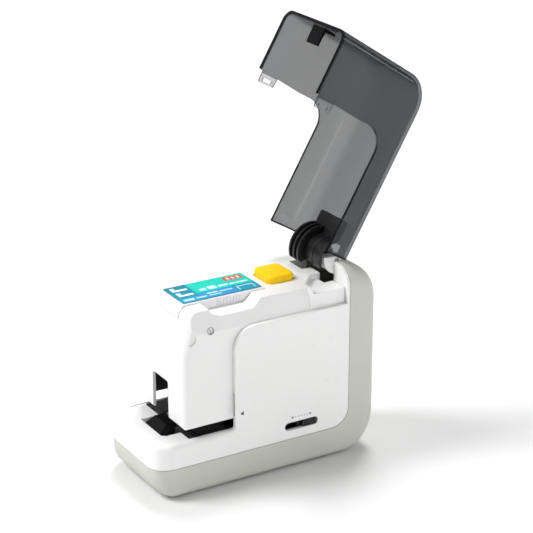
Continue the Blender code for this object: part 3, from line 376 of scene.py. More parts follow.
def bm_slab(outline, half, radius, steps=RING):
    """Side outline (Y, Z) carried across X with rounded edges to the two sides."""
    bm = bmesh.new()
    rows = []
    ks = list(range(steps, -1, -1))
    for side, seq in ((-1, ks), (1, ks[::-1])):
        for k in seq:
            t = math.pi / 2 * k / steps
            row = []
            for (y, z, ny, nz) in outline:
                r = radius(y, z, ny, nz)
                d = r * (1 - math.cos(t))
                row.append(bm.verts.new((side * (half - r + r * math.sin(t)), y - ny * d, z - nz * d)))
            rows.append(row)
    n = len(outline)
    for a, b in zip(rows[:-1], rows[1:]):
        for i in range(n):
            j = (i + 1) % n
            bm.faces.new((a[i], a[j], b[j], b[i]))
    bm.faces.new(rows[0])
    bm.faces.new(rows[-1][::-1])
    bmesh.ops.remove_doubles(bm, verts=bm.verts, dist=0.004)
    bmesh.ops.dissolve_degenerate(bm, edges=bm.edges, dist=0.003)
    bmesh.ops.recalc_face_normals(bm, faces=bm.faces)
    return bm


def bm_stack(outline, z0, z1, top=0.0, bottom=0.0, steps=5, crown=0.0, taper=0.0):
    """Plan outline [(x, y, nx, ny)] carried up in Z, edges rounded; taper draws the top in."""
    bm = bmesh.new()
    levels = []
    if bottom:
        for k in range(steps + 1):
            b = math.pi / 2 * k / steps
            levels.append((z0 + bottom - bottom * math.cos(b), bottom * (1 - math.sin(b))))
    else:
        levels.append((z0, 0.0))
    if top:
        for k in range(steps + 1):
            b = math.pi / 2 * k / steps
            levels.append((z1 - top + top * math.sin(b), top * (1 - math.cos(b))))
    else:
        levels.append((z1, 0.0))
    rows = []
    for z, d in levels:
        d2 = d + taper * (z - z0) / (z1 - z0)
        rows.append([bm.verts.new((x - nx * d2, y - ny * d2, z)) for x, y, nx, ny in outline])
    n = len(outline)
    for a, b in zip(rows[:-1], rows[1:]):
        for i in range(n):
            j = (i + 1) % n
            bm.faces.new((a[i], a[j], b[j], b[i]))
    bm.faces.new(rows[0][::-1])
    if crown:
        cx = sum(p[0] for p in outline) / n
        cy = sum(p[1] for p in outline) / n
        last = rows[-1]
        for k in range(1, 5):
            f = 1 - k / 5.0
            row = [bm.verts.new((cx + (v.co.x - cx) * f, cy + (v.co.y - cy) * f, z1 + crown * (1 - f * f))) for v in rows[-1]]
            for i in range(n):
                j = (i + 1) % n
                bm.faces.new((last[i], last[j], row[j], row[i]))
            last = row
        bm.faces.new(last)
    else:
        bm.faces.new(rows[-1])
    bmesh.ops.recalc_face_normals(bm, faces=bm.faces)
    return bm


def bm_prism(axis, pts, lo, hi):
    bm = bmesh.new()
    vs = [bm.verts.new({'X': (lo, p[0], p[1]), 'Y': (p[0], lo, p[1]), 'Z': (p[0], p[1], lo)}[axis]) for p in pts]
    f = bm.faces.new(vs)
    g = bmesh.ops.extrude_face_region(bm, geom=[f])
    d = {'X': (hi - lo, 0, 0), 'Y': (0, hi - lo, 0), 'Z': (0, 0, hi - lo)}[axis]
    bmesh.ops.translate(bm, verts=[e for e in g["geom"] if isinstance(e, bmesh.types.BMVert)], vec=d)
    bmesh.ops.remove_doubles(bm, verts=bm.verts, dist=0.002)
    bmesh.ops.recalc_face_normals(bm, faces=bm.faces)
    return bm


def rrect4(u0, u1, v0, v1, r, n=6):
    return fillet([(u0, v0, r, n), (u1, v0, r, n), (u1, v1, r, n), (u0, v1, r, n)])


def rrect(u0, u1, v0, v1, r, n=6):
    return [(p[0], p[1]) for p in rrect4(u0, u1, v0, v1, r, n)]


def arc_pts(cy, cz, r, a0, a1, n):
    return [(cy + r * math.cos(math.radians(a0 + (a1 - a0) * k / n)),
             cz + r * math.sin(math.radians(a0 + (a1 - a0) * k / n))) for k in range(n + 1)]


def lerp_r(ny, nz, front, rear, up, down):
    w = [(max(0, -ny) ** 2, front), (max(0, ny) ** 2, rear), (max(0, nz) ** 2, up), (max(0, -nz) ** 2, down)]
    s = sum(a for a, _ in w) or 1.0
    return sum(a * b for a, b in w) / s


def temp(bm):
    me = bpy.data.meshes.new("temp")
    bmesh.ops.recalc_face_normals(bm, faces=bm.faces)
    bm.to_mesh(me)
    bm.free()
    ob = bpy.data.objects.new("temp", me)
    bpy.context.scene.collection.objects.link(ob)
    return ob


def carve(bm, *cuts):
    """cuts are bmeshes to take away, or ('+', bmesh) to join on, in order."""
    ob = temp(bm)
    helpers = []
    for c in cuts:
        op = 'DIFFERENCE'
        if isinstance(c, tuple):
            op, c = 'UNION', c[1]
        h = temp(c)
        helpers.append(h)
        m = ob.modifiers.new("b", 'BOOLEAN')
        m.operation, m.solver, m.object = op, 'EXACT', h
    bpy.context.view_layer.update()
    dg = bpy.context.evaluated_depsgraph_get()
    me = bpy.data.meshes.new_from_object(ob.evaluated_get(dg))
    out = bmesh.new()
    out.from_mesh(me)
    for o in helpers + [ob]:
        d = o.data
        bpy.data.objects.remove(o, do_unlink=True)
        bpy.data.meshes.remove(d)
    bpy.data.meshes.remove(me)
    bmesh.ops.remove_doubles(out, verts=out.verts, dist=0.004)
    bmesh.ops.dissolve_degenerate(out, edges=out.edges, dist=0.003)
    return out


TURN = Matrix.Translation((0, HY, HZ)) @ Matrix.Rotation(-math.radians(OPEN), 4, 'X') @ Matrix.Translation((0, -HY, -HZ))


def piece(name, bm, mats, body, slot, *nodes, bev=0.0, segs=2, turn=False, sharp=30, angle=35):
    """Millimetre mesh -> finished visible piece riding on its body."""
    if turn:
        bmesh.ops.transform(bm, matrix=TURN, verts=bm.verts)
    bmesh.ops.translate(bm, verts=bm.verts, vec=(0, -OY, 0))
    bmesh.ops.scale(bm, verts=bm.verts, vec=(0.001, 0.001, 0.001))
    bmesh.ops.recalc_face_normals(bm, faces=bm.faces)
    me = bpy.data.meshes.new(name)
    bm.to_mesh(me)
    bm.free()
    for m in (mats if isinstance(mats, (list, tuple)) else [mats]):
        me.materials.append(m)
    me.shade_smooth()
    ob = bpy.data.objects.new(name, me)
    bpy.context.scene.collection.objects.link(ob)
    if bev:
        m = ob.modifiers.new("edge", 'BEVEL')
        m.width, m.segments, m.limit_method, m.angle_limit = bev * 0.001, segs, 'ANGLE', math.radians(angle)
        m.use_clamp_overlap = True
        m.harden_normals = False
    else:
        me.set_sharp_from_angle(angle=math.radians(sharp))
    w = ob.modifiers.new("normals", 'WEIGHTED_NORMAL')
    w.keep_sharp = True
    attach(ob, body)
    if nodes:
        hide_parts(*nodes)
    return ob


def refine(node, mat, body, bev=0.2, segs=2):
    """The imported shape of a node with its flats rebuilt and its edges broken."""
    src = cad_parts[node]
    bm = bmesh.new()
    bm.from_mesh(src.data)
    bmesh.ops.remove_doubles(bm, verts=bm.verts, dist=0.00002)
    bmesh.ops.dissolve_limit(bm, angle_limit=math.radians(1.0), verts=bm.verts, edges=bm.edges)
    me = bpy.data.meshes.new(node + "_fine")
    bm.to_mesh(me)
    bm.free()
    me.materials.clear()
    me.materials.append(mat)
    me.shade_smooth()
    ob = bpy.data.objects.new(node + "_fine", me)
    bpy.context.scene.collection.objects.link(ob)
    m = ob.modifiers.new("edge", 'BEVEL')
    m.width, m.segments, m.limit_method, m.angle_limit = bev * 0.001, segs, 'ANGLE', math.radians(40)
    w = ob.modifiers.new("normals", 'WEIGHTED_NORMAL')
    w.keep_sharp = True
    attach(ob, body)
    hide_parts(node)
    return ob


def spring(name, start, length, r, wire, turns, axis, body, node, ends=0.0):
    cu = bpy.data.curves.new(name, 'CURVE')
    cu.dimensions = '3D'
    cu.bevel_depth = wire / 2 * 0.001
    cu.bevel_resolution = 3
    cu.use_fill_caps = True
    sp = cu.splines.new('POLY')
    n = int(turns * 24)
    sp.points.add(n)
    for k in range(n + 1):
        a = 2 * math.pi * k / 24
        u, v, w = r * math.cos(a), r * math.sin(a), length * k / n
        q = {'Z': (u, v, w), 'X': (w, u, v)}[axis]
        sp.points[k].co = ((start[0] + q[0]) * 0.001, (start[1] - OY + q[1]) * 0.001, (start[2] + q[2]) * 0.001, 1.0)
    cu.materials.append(STEEL)
    ob = bpy.data.objects.new(name, cu)
    bpy.context.scene.collection.objects.link(ob)
    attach(ob, body)
    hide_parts(node)
    return ob


# ------------------------------------------------------------ grey rear casing
def base_radius(y, z, ny, nz):
    if abs(z - SEAM_Z) < 0.01 and ny > -0.5 and y < SEAM_Y:
        return 0.0
    if y > 20 and SEAM_Z - 0.01 < z < TOP - 0.5 and y < SEAM_Y + 0.01:
        return 0.0
    return lerp_r(ny, nz, 12.5, 12.5, 12.0, 5.0)


base_outline = fillet([
    (0, SEAM_Z, 0, 0, (-1, 0)), (0, BOTTOM, 15, ARC), (L, BOTTOM, 25, ARC + 4),
    (L, TOP, 23, ARC + 4), (SEAM_Y, TOP, 0, 0, (0, 1)), (SEAM_Y, SEAM_Z, 12, ARC)])
base_in = fillet([(WALL, 60, 0, 0, (-1, 0)), (WALL, 4.6, 11, ARC), (L - WALL, 4.6, 21.5, ARC),
                  (L - WALL, TOP - WALL, 20.6, ARC), (110, TOP - WALL, 0, 0, (0, 1)), (110, 60, 0, 0, (0, 1))])
SCREWS = [(-21.5, 42.0), (21.5, 42.0), (-9.0, 133.0), (9.0, 133.0)]
base = carve(
    bm_slab(base_outline, W / 2, base_radius),
    bm_slab(base_in, W / 2 - WALL, lambda y, z, ny, nz: lerp_r(ny, nz, 10.1, 10.1, 9.6, 0.9), 4),
    bm_stack(rrect4(-28.9, 28.9, 52.0, 123.0, 1.5), 0.0, 2.9),
    bm_box(-28.0, 28.0, 56.0, 110.0, 2.0, 6.0),
    bm_cyl('Y', (-14, 156, 34), 4.4, 12),
    bm_cyl('Y', (-14, 158.0, 34), 5.6, 1.0),
    bm_box(-17.0, 17.0, 134.0, 139.4, 107.5, 130.0),
    *[bm_cyl('Z', (sx * 21.0, y, 0.8), 5.3, 1.8) for sx, y in [(-1, 25), (1, 25), (-1, 136), (1, 136)]],
    *[bm_cyl('Z', (x, y, 1.0), 2.9, 4) for x, y in SCREWS],
    *[bm_cyl('Z', (x, y, 4.0), 1.5, 6, 20) for x, y in SCREWS])
piece("grey_shell", base, GREY, "casing", "grey_casing", "base_shell")


# ----------------------------------------------------------- white body casing
def body_radius(y, z, ny, nz):
    if z < SEAM_Z + GAP + 0.01 and ny > -0.5 and y < SEAM_Y - 12:
        return 0.0
    if z > TOP - 0.5:
        return 12.0
    if y > SEAM_Y - 14 and z < LEDGE_Z - 0.5:
        return 0.0
    if y > FRAME_Y - 0.01:
        return 0.0
    if y < STEP_Y - 4:
        return 3.6 if nz > 0 else 0.0
    if y < STEP_Y - 0.01:
        return 2.0
    return 0.9


JOIN = 40.0
body_outline = fillet([
    (JOIN, SEAM_Z + GAP, 0, 0, (0, -1)), (JOIN, FOOT_TOP, 0, 0, (0, 1)), (STEP_Y, FOOT_TOP, 2.5, 6),
    (STEP_Y, LEDGE_Z, 14, ARC), (FRAME_Y, LEDGE_Z, 0, 0, (0, 1)), (FRAME_Y, TOP, 0, 0, (0, 1)),
    (SEAM_Y - GAP, TOP, 0, 0, (0, 1)), (SEAM_Y - GAP, SEAM_Z + GAP, 12, ARC)])


def bm_foot(inset, rear, z0, z1, corner, edge, steps=RING, closed=True, bm=None):
    bm = bm or bmesh.new()
    hw = W / 2 - inset
    plan = [(-hw, rear, -1, 0)]
    for k in range(ARC + 1):
        a = math.pi / 2 * k / ARC
        plan.append((-hw + corner - corner * math.cos(a), inset + corner - corner * math.sin(a), -math.cos(a), -math.sin(a)))
    plan += [(-x, y, -nx, ny) for x, y, nx, ny in plan[::-1]]
    rows = [[bm.verts.new((x, y, z0)) for x, y, nx, ny in plan]]
    for k in range(steps + 1):
        b = math.pi / 2 * k / steps
        d, z = edge * (1 - math.cos(b)), z1 - edge + edge * math.sin(b)
        rows.append([bm.verts.new((x - nx * d, y - ny * d, z)) for x, y, nx, ny in plan])
    for a, b in zip(rows[:-1], rows[1:]):
        for i in range(len(plan) - 1):
            bm.faces.new((a[i], a[i + 1], b[i + 1], b[i]))
    bm.faces.new(rows[0][::-1])
    bm.faces.new(rows[-1])
    if closed:
        bm.faces.new([r[0] for r in rows] + [r[-1] for r in rows[::-1]])
    return bm


body_bm = bm_slab(body_outline, W / 2, body_radius)
bmesh.ops.delete(body_bm, geom=[f for f in body_bm.faces if all(abs(v.co.y - JOIN) < 0.001 for v in f.verts)], context='FACES')
bm_foot(0.0, JOIN, SEAM_Z + GAP, FOOT_TOP, 12.5, 3.6, closed=False, bm=body_bm)
bmesh.ops.remove_doubles(body_bm, verts=body_bm.verts, dist=0.01)
body_bm = carve(
    body_bm,
    bm_foot(WALL, 70.0, 5.0, 27.4, 10.1, 1.5, 3),
    bm_box(-30.6, 30.6, TABLE_Y - 0.6, 70, 5.2, FOOT_TOP - WALL),
    bm_stack(rrect4(-29.2, 29.2, 13.9, 58.0, 3.0), 36.0, 45.0),
    bm_box(-CORE - GAP, CORE + GAP, STEP_Y - 1.0, FRAME_Y, FOOT_TOP - WALL, 140),
    bm_box(-30.6, 30.6, 60, 136, 5, 100.0),
    bm_stack(rrect4(-10.1, 17.9, 12.0, TABLE_Y + 4, 2.0), 29.9, 60),
    bm_stack(rrect4(-TABLE_X - GAP, TABLE_X + GAP, TABLE_Y - GAP, STEP_Y + 5, 2.0), 25, 60),
    bm_box(30.0, 32.2, STEP_Y - 2, STEP_Y + 8.2, 45.4, 60.4),
    bm_box(-32.2, -30.0, STEP_Y - 2, STEP_Y + 8.2, 45.4, 60.4),
    bm_prism('X', rrect(SLOT_Y[0], SLOT_Y[1], SLOT_Z - 2.6, SLOT_Z + 2.6, 2.4), 28, 36),
    bm_box(-17.0, 17.0, 131.0, 137.0, 98.0, 130.0))
piece("white_shell", body_bm, WHITE, "casing", "white_casing", "body_shell")

# ------------------------------------------------------------ white head casing
head_out = fillet([
    (HEAD_Y, HEAD_Z, 1.2, 4), (HEAD_Y, 91.0, 60.0, 10), (HEAD_Y + 7.2, DECK, 6.0, 8),
    (FRAME_Y - GAP, DECK, 0, 0, (0, 1)), (FRAME_Y - GAP, 36.0, 0, 0, (0, -1)),
    (STEP_Y + 9, 36.0, 0, 0, (0, -1)), (STEP_Y + 3, HEAD_Z, 2, 3)])


def head_radius(y, z, ny, nz):
    if y > FRAME_Y - 1 or z < HEAD_Z - 1 or nz < -0.6:
        return 0.6
    if nz > 0.2 and y < 60:
        return 5.5
    return lerp_r(ny, nz, 4.5, 0.6, 5.0, 0.6)


head_in = fillet([(HEAD_Y + 2.0, 30, 0, 0, (0, -1)), (HEAD_Y + 2.0, 91, 58, 6), (HEAD_Y + 7.5, DECK - 7.7, 4, 4),
                  (FRAME_Y + 5, DECK - 7.7, 0, 0, (0, 1)), (FRAME_Y + 5, 30, 0, 0, (0, -1))])
wedge = [(CORE + 6, 150), (25.6, DECK + 0.6), (26.0, DECK - 0.6), (CORE + 0.4, 101.0), (CORE + 6, 101.0)]
recess = [(p[0], p[1]) for p in fillet([(44, 130, 0, 0, (0, 1)), (40, 112.5, 3, 5), (47, 110.3, 5, 6),
                                        (70, 110.3, 5, 6), (77.5, 116.5, 3, 5), (78, 130, 0, 0, (0, 1))])]
head_bm = carve(
    bm_slab(head_out, CORE, head_radius),
    bm_slab(head_in, CORE - 2.0, lambda y, z, ny, nz: 2.5 if nz > 0.5 or ny < -0.5 else 0.0, 4),
    bm_prism('Y', wedge, 8, 108.5), bm_prism('Y', [(-u, v) for u, v in wedge], 8, 108.5),
    bm_prism('Y', rrect(-9.8, 9.8, 30.0, 67.2, 1.6, 5), HEAD_Y - 3, HEAD_Y + 6),
    bm_box(-CART - GAP, CART + GAP, HEAD_Y - 4, CART_R + GAP, 108.4, 130),
    bm_box(-12.3, 12.3, CART_F + 2.1, CART_R - 2.1, 100, 116),
    bm_prism('X', recess, CART - 1, 40), bm_prism('X', recess, -40, -CART + 1),
    bm_stack(rrect4(-BTN_X - GAP, BTN_X + GAP, BTN_Y - BTN_L - GAP, BTN_Y + BTN_L + GAP, 4.5, 8), 105, 125),
    bm_box(-17.0, -1.9, 121.9, 140, 99.0, 130), bm_box(-2.0, 17.0, 128.0, 140, 99.0, 130),
    bm_box(9.0, 17.0, 125.9, 129, 99.0, 130),
    bm_prism('Z', [(9.0, 140), (9.0, 121.0), (20.0, 110.5), (36.0, 110.5), (36.0, 140)], 111.8, 130),
    bm_cyl('X', (31.0, 26.0, 99.8), 3.6, 4.4),
    bm_cyl('X', (30.4, 39.6, 103.0), 2.3, 4.4),
    bm_cyl('X', (27.0, 39.6, 103.0), 1.3, 8.0, 20))
# Painted shade: the white head's inner walls around the nose window are white plastic lying in shadow, and here take
# the dark tray material.
for f in head_bm.faces:
    c = f.calc_center_median()
    if abs(c.x) < 28.3 and HEAD_Y + 1.9 < c.y < 60.0 and 44.0 < c.z < 82.0 and (c.z > 68 or abs(c.x) > 9.9 or c.y > HEAD_Y + 7):
        f.material_index = 1
piece("head_casing", head_bm, [WHITE, DARK_TRAY_AND_SHADE], "casing", "white_casing", "head_cover")

# --------------------------------------------------------- table and clincher
table = carve(
    bm_box(-TABLE_X, TABLE_X, TABLE_Y, 52.4, 27.2, 35.8),
    ('+', bm_prism('X', [(27.2, 27.1), (52.6, 27.1), (52.6, 36.3), (30.5, 36.3), (30.5, 36.9), (27.2, 37.2)], -9.6, 9.6)))
piece("paper_table", table, BLACK, "casing", "black_plastic", bev=0.3)
wedge_bm = bmesh.new()
wv = [wedge_bm.verts.new(p) for p in (
    (-9.6, 14.2, 30.2), (9.6, 14.2, 30.2), (9.6, 27.1, 30.2), (-9.6, 27.1, 30.2),
    (-9.6, 14.2, 33.0), (9.6, 14.2, 33.0), (9.6, 27.1, 35.6), (-9.6, 27.1, 35.6),
    (-7.4, 20.3, 38.1), (7.4, 20.3, 38.1), (7.4, 27.1, 38.0), (-7.4, 27.1, 38.0))]
for f in ((3, 2, 1, 0), (0, 1, 5, 4), (4, 5, 9, 8), (8, 9, 10, 11), (1, 2, 6, 5), (5, 6, 10, 9), (3, 0, 4, 7), (7, 4, 8, 11), (2, 3, 7, 11, 10, 6)):
    wedge_bm.faces.new([wv[i] for i in f])
piece("table_nose", wedge_bm, BLACK_SATIN, "casing", "black_plastic", "table_block", bev=0.35, segs=3, angle=12)
clincher = carve(bm_box(-7.0, 7.0, 28.2, 39.0, 35.5, 38.4), bm_box(-5.4, -0.8, 32.0, 33.3, 37.8, 40), bm_box(0.8, 5.4, 32.0, 33.3, 37.8, 40))
piece("clincher", clincher, STEEL, "casing", "bright_steel", "clincher_plate", bev=0.25)
nose = carve(bm_box(-9.2, 9.2, HEAD_Y + 9.6, HEAD_Y + 10.6, 44.2, 92.0), bm_box(-1.4, 1.4, HEAD_Y + 8, HEAD_Y + 10.0, 40, 58),
             bm_cyl('Y', (-6.0, HEAD_Y + 9.6, 60.0), 1.5, 0.8), bm_cyl('Y', (6.0, HEAD_Y + 9.6, 60.0), 1.5, 0.8))
piece("nose_guide", nose, DARK_STEEL, "casing", "bright_steel", "nose_plate", bev=0.2)

# ------------------------------------------------------------------ cartridge
cart_pts = [(p[0], p[1]) for p in fillet([(CART_F - 4.2, 108.7, 0.5, 3), (CART_F - 0.4, 116.1, 1.2, 5), (CART_R, 116.1, 1.0, 4), (CART_R, 108.7, 0.5, 3)])]
cart = carve(
    bm_prism('X', cart_pts, -CART, CART),
    ('+', bm_box(-12.0, 12.0, CART_F + 2.4, CART_R - 2.4, 100.4, 110.0)),
    bm_box(-10.6, 10.6, CART_F + 3.8, CART_R - 3.8, 98.0, 114.6),
    *[bm_box(CART - 0.5, 16, 52.0 + 2.2 * k, 53.0 + 2.2 * k, 110.9, 115.0) for k in range(8)],
    *[bm_box(-16, -CART + 0.5, 52.0 + 2.2 * k, 53.0 + 2.2 * k, 110.9, 115.0) for k in range(8)])
piece("cartridge_body", cart, CARTW, "cartridge", "white_casing", "staple_cartridge", bev=0.2)
piece("cartridge_print", bm_stack(rrect4(-13.0, 13.0, 30.6, 84.3, 0.9, 5), 116.4, 116.7, top=0.12, steps=2), LABEL, "cartridge", "printed_label", "cartridge_label")
staples = bm_box(-4.8, 4.8, 35.0, 80.0, 103.0, 108.6)
ribs = [bm_box(-6, 6, 35.8 + 0.9 * k, 35.95 + 0.9 * k, 108.45, 110) for k in range(49)]
piece("staples", carve(staples, bm_box(-4.1, 4.1, 30, 90, 100, 107.9), *ribs[::4]), STEEL, "cartridge", "bright_steel", "staple_strip")

# --------------------------------------------------------------------- button
piece("release_button", bm_stack(rrect4(-BTN_X, BTN_X, BTN_Y - BTN_L, BTN_Y + BTN_L, 4.6, 10), 108.8, BTN_TOP - 0.25, top=1.5, steps=7, crown=0.25, taper=0.25),
      YELLOW, "button", "yellow_plastic", "eject_button")
spring("button_return", (0, BTN_Y, 101.4), 6.2, 3.0, 0.6, 4, 'Z', "casing", "button_spring")

# --------------------------------------------------------------- depth slider
knob = carve(
    bm_prism('X', rrect(KNOB_Y - 5.0, KNOB_Y + 5.0, SLOT_Z - 2.2, SLOT_Z + 2.2, 1.2), 30.1, 33.0),
    *[bm_box(32.35, 36.0, KNOB_Y - 4.1 + 1.35 * k, KNOB_Y - 3.4 + 1.35 * k, SLOT_Z - 4, SLOT_Z + 4) for k in range(6)],
    ('+', bm_box(29.3, 30.3, KNOB_Y - 7.5, KNOB_Y + 7.5, SLOT_Z - 3.6, SLOT_Z + 3.6)))
piece("slider_knob", knob, BLACK, "slider", "black_plastic", "depth_knob", bev=0.18)
refine("paper_stop", BLACK, "slider", 0.3)
slot_back = bm_box(29.0, 29.28, SLOT_Y[0] - 2.5, SLOT_Y[1] + 2.5, SLOT_Z - 4.0, SLOT_Z + 4.0)

# generic marks printed beside the slots
marks = bm_prism('X', [(57.3, 46.4), (59.7, 45.0), (59.7, 47.8)], 32.97, 33.02)
for k in range(5):
    c = bm_cyl('X', (32.995, 96.4 + 2.05 * k, 34.9), 0.32, 0.05, 16)
    me = bpy.data.meshes.new("m")
    c.to_mesh(me)
    marks.from_mesh(me)
    c.free()
    bpy.data.meshes.remove(me)
for tri in ([(93.0, 34.9), (94.7, 34.15), (94.7, 35.65)], [(108.0, 34.9), (106.3, 34.15), (106.3, 35.65)]):
    c = bm_prism('X', tri, 32.97, 33.02)
    me = bpy.data.meshes.new("m")
    c.to_mesh(me)
    marks.from_mesh(me)
    c.free()
    bpy.data.meshes.remove(me)
piece("side_marks", marks, INK, "casing", "black_plastic")


# ---------------------------------------------------------------- smoke cover
def cover_outline(w=0.0):
    f, t = C_FRONT + w, C_TOP - w
    e = 6.0 if w else 0.0
    lip = C_LIP + w - e * (C_FRONT - C_LIP) / (C_TOP - C_CHIN)
    return fillet([
        (lip, C_CHIN - e, 0, 0, (-1, 0)), (f, t, 20.0 - w, ARC + 4), (C_REAR + e, t, 0, 0, (0, 1)),
        (C_REAR + e, C_SKIRT - e, 0, 0, (0, -1)),
        (STEP_Y - GAP + e, C_SKIRT - e, max(1.0, 13.7 - e), ARC),
        (STEP_Y - GAP + e, 80.0, 0, 0, (1, 0)), (STEP_Y - 2.8 + e, C_CHIN - e, 0, 0, (0, -1))])


def cover_radius(w):
    def f(y, z, ny, nz):
        if y > STEP_Y - 5 and z < C_SKIRT + 0.01:
            return 0.0
        return lerp_r(ny, nz, 7.0 - w, 12.0 - w, 12.0 - w, 0.0)
    return f


tab = fillet([(STEP_Y - 4.0, 47.4, 0, 0), (STEP_Y + 4.6, 47.6, 1.2, 5), (STEP_Y + 4.4, 59.2, 1.4, 5), (STEP_Y - 4.0, 60.0, 0, 0)])
tab_hole = fillet([(STEP_Y + 1.0, 50.2, 0.6, 4), (STEP_Y + 3.3, 50.2, 0.6, 4), (STEP_Y + 3.0, 56.6, 0.6, 4), (STEP_Y + 1.0, 56.6, 0.6, 4)])
cuts = [bm_slab(cover_outline(C_WALL), W / 2 - C_WALL, cover_radius(C_WALL))]
for s in (1, -1):
    cuts.append(('+', bm_prism('X', [(p[0], p[1]) for p in tab], *sorted((s * 31.1, s * 32.0)))))
    cuts.append(bm_prism('X', [(p[0], p[1]) for p in tab_hole], *sorted((s * 30.0, s * 34.0))))
cuts.append(bm_box(-16.8, 16.8, 126.6, 140, 118, 130))
cover = carve(bm_slab(cover_outline(), W / 2, cover_radius(0)), *cuts)
for co, no in (((0, 0, C_CHIN + 1.1), (0, 0, 1)), ((0, C_REAR - 0.9, 0), (0, 1, 0)), ((0, 0, C_SKIRT + 0.7), (0, 0, 1)), ((0, STEP_Y - GAP - 0.9, 0), (0, 1, 0))):
    bmesh.ops.bisect_plane(cover, geom=cover.verts[:] + cover.edges[:] + cover.faces[:], plane_co=co, plane_no=no)
bmesh.ops.recalc_face_normals(cover, faces=cover.faces)
for f in cover.faces:
    c = f.calc_center_median()
    rim = abs(f.normal.x) < 0.5
    # Latch-tab faces take the paler smoke copy as painted light; their rims take the dark rim material.
    if c.y > STEP_Y - GAP and c.z < 61:
        f.material_index = 1 if rim else 2
    elif c.z < C_CHIN + 1.1 or c.y > C_REAR - 0.9 or (c.z < C_SKIRT + 0.7 and c.y > STEP_Y + 13.8):
        f.material_index = 1
    elif STEP_Y - GAP - 0.9 < c.y < STEP_Y and c.z < C_SKIRT - 14:
        f.material_index = 1
    elif rim and c.y > STEP_Y - 3 and c.z < C_SKIRT + 0.1:
        f.material_index = 1
piece("swing_cover", cover, [SMOKE, SMOKE_EDGE, SMOKE_TAB_PAINTED_LIGHT], "cover", "smoke_plastic", "smoke_cover", turn=True, sharp=40)
tg = C_LIP + C_WALL + GAP
piece("cover_hook", bm_prism('X', [(tg + 0.3, 48.6), (25.4, 48.9), (25.4, 50.3), (tg + 2.2, 50.6), (tg + 2.4, 58.0), (tg + 0.8, 58.0)], -6.1, 6.1),
      BLACK_SATIN, "cover", "black_plastic", "cover_tongue", turn=True, bev=0.25)

# ---------------------------------------------------------------------- hinge
R_IN, R_OUT = 9.6, 11.4


def rel(pts):
    return [(HY + p[0], HZ + p[1]) for p in pts]


arm = rel(arc_pts(0, 0, R_OUT, 200, 325, 30) + arc_pts(0, 0, R_IN, 325, 200, 30))
joins = []
rib = rel(arc_pts(0, 0, 11.7, 202, 322, 30) + arc_pts(0, 0, R_IN + 0.4, 322, 202, 26))
fin = rel(arc_pts(0, 0, 15.75, 198, 316, 34) + arc_pts(0, 0, 14.5, 323, 323.5, 1) + arc_pts(0, 0, R_IN + 0.4, 320, 202, 26))
for x in (-14.4, -9.8, -5.2, 4.4, 12.8):
    joins.append(('+', bm_prism('X', fin if x < -2 else rib, x, x + 1.6)))
ear = rel(arc_pts(0, 0, 3.4, -40, 150, 18) + arc_pts(0, 0, 10.4, 212, 240, 4))
for x in (-8.0, 6.4):
    joins.append(('+', bm_prism('X', ear, x, x + 1.6)))
joins.append(('+', bm_stack(rrect4(-14.4, 14.4, 112.0, HY - 9.7, 1.6, 4), 120.3, 121.6)))
joins.append(bm_cyl('X', (0, HY, HZ), 1.75, 40, 24))
piece("hinge_arm", carve(bm_prism('X', arm, -13.6, 13.6), *joins), BLACK, "cover", "black_plastic", "hinge_bracket", turn=True, bev=0.15)
for name, x0, x1 in (("hinge_cheek_right", 15.1, 16.7), ("hinge_cheek_left", -16.7, -15.1)):
    disc = arc_pts(HY, HZ, 8.7, 150, 335, 30) + [(HY + 5, HZ - 0.2), (HY + 2.6, HZ + 2.4), (HY - 2.6, HZ + 2.6)]
    s = 1 if x0 > 0 else -1
    lo, hi = sorted((s * 9.4, s * 15.6))
    ch = carve(bm_prism('X', disc, x0, x1), ('+', bm_cyl('X', ((lo + hi) / 2, HY, HZ), 8.4, hi - lo, 56)),
               bm_box(-30, 30, HY + 2.9, HY + 20, 100, 140), bm_box(-30, 30, HY - 20, HY + 20, HZ + 2.6, 150),
               bm_cyl('X', ((lo + hi) / 2, HY, HZ), 1.7, 30, 24))
    piece(name + "_boss", ch, WHITE, "casing", "white_casing", name, bev=0.25)
piece("hinge_axle", bm_lathe('X', (-16.6, HY, HZ), [(0, 0), (1.1, 0), (1.4, 0.3), (1.4, 32.9), (1.1, 33.2), (0, 33.2)], 32), STEEL, "casing", "bright_steel", "hinge_pin")
spring("cover_return", (-4.6, HY, HZ), 9.2, 2.9, 0.7, 5, 'X', "casing", "cover_spring")
spring("lever_return", (3.4, 64.0, 76.0), 5.2, 3.2, 0.8, 5, 'X', "casing", "lever_spring")

# --------------------------------------------------------- underside and rear
door = carve(bm_stack(rrect4(-28.6, 28.6, 52.3, 114.0, 1.2, 5), 1.2, 2.6, bottom=0.3, steps=3),
             *[bm_stack(rrect4(-9, 9, 60 + 2.2 * k, 61.1 + 2.2 * k, 0.5, 4), 0, 1.75) for k in range(5)])
piece("cell_door", door, GREY, "door", "grey_casing", "battery_door")
for nm, x, y in (("foot_front_left", -21, 25), ("foot_front_right", 21, 25), ("foot_rear_left", -21, 136), ("foot_rear_right", 21, 136)):
    pad = carve(bm_lathe('Z', (x, y, 0.0), [(0, 0), (4.4, 0), (4.85, 0.15), (5.0, 0.5), (5.0, 1.6), (0, 1.6)], 48), bm_cyl('Z', (x, y, 0.0), 2.2, 0.5))
    piece(nm + "_pad", pad, RUBBER, "casing", "foot_rubber", nm)
for i, (x, y) in enumerate(SCREWS):
    sc = carve(bm_lathe('Z', (x, y, 1.4), [(0, 0), (2.2, 0), (2.6, 0.4), (2.6, 1.4), (1.2, 1.4), (1.2, 12.0), (0, 12.6)], 32),
               bm_box(x - 1.4, x + 1.4, y - 0.3, y + 0.3, 1.0, 2.3), bm_box(x - 0.3, x + 0.3, y - 1.4, y + 1.4, 1.0, 2.3))
    piece("case_screw_%d_head" % (i + 1), sc, STEEL, "casing", "bright_steel", "case_screw_%d" % (i + 1))
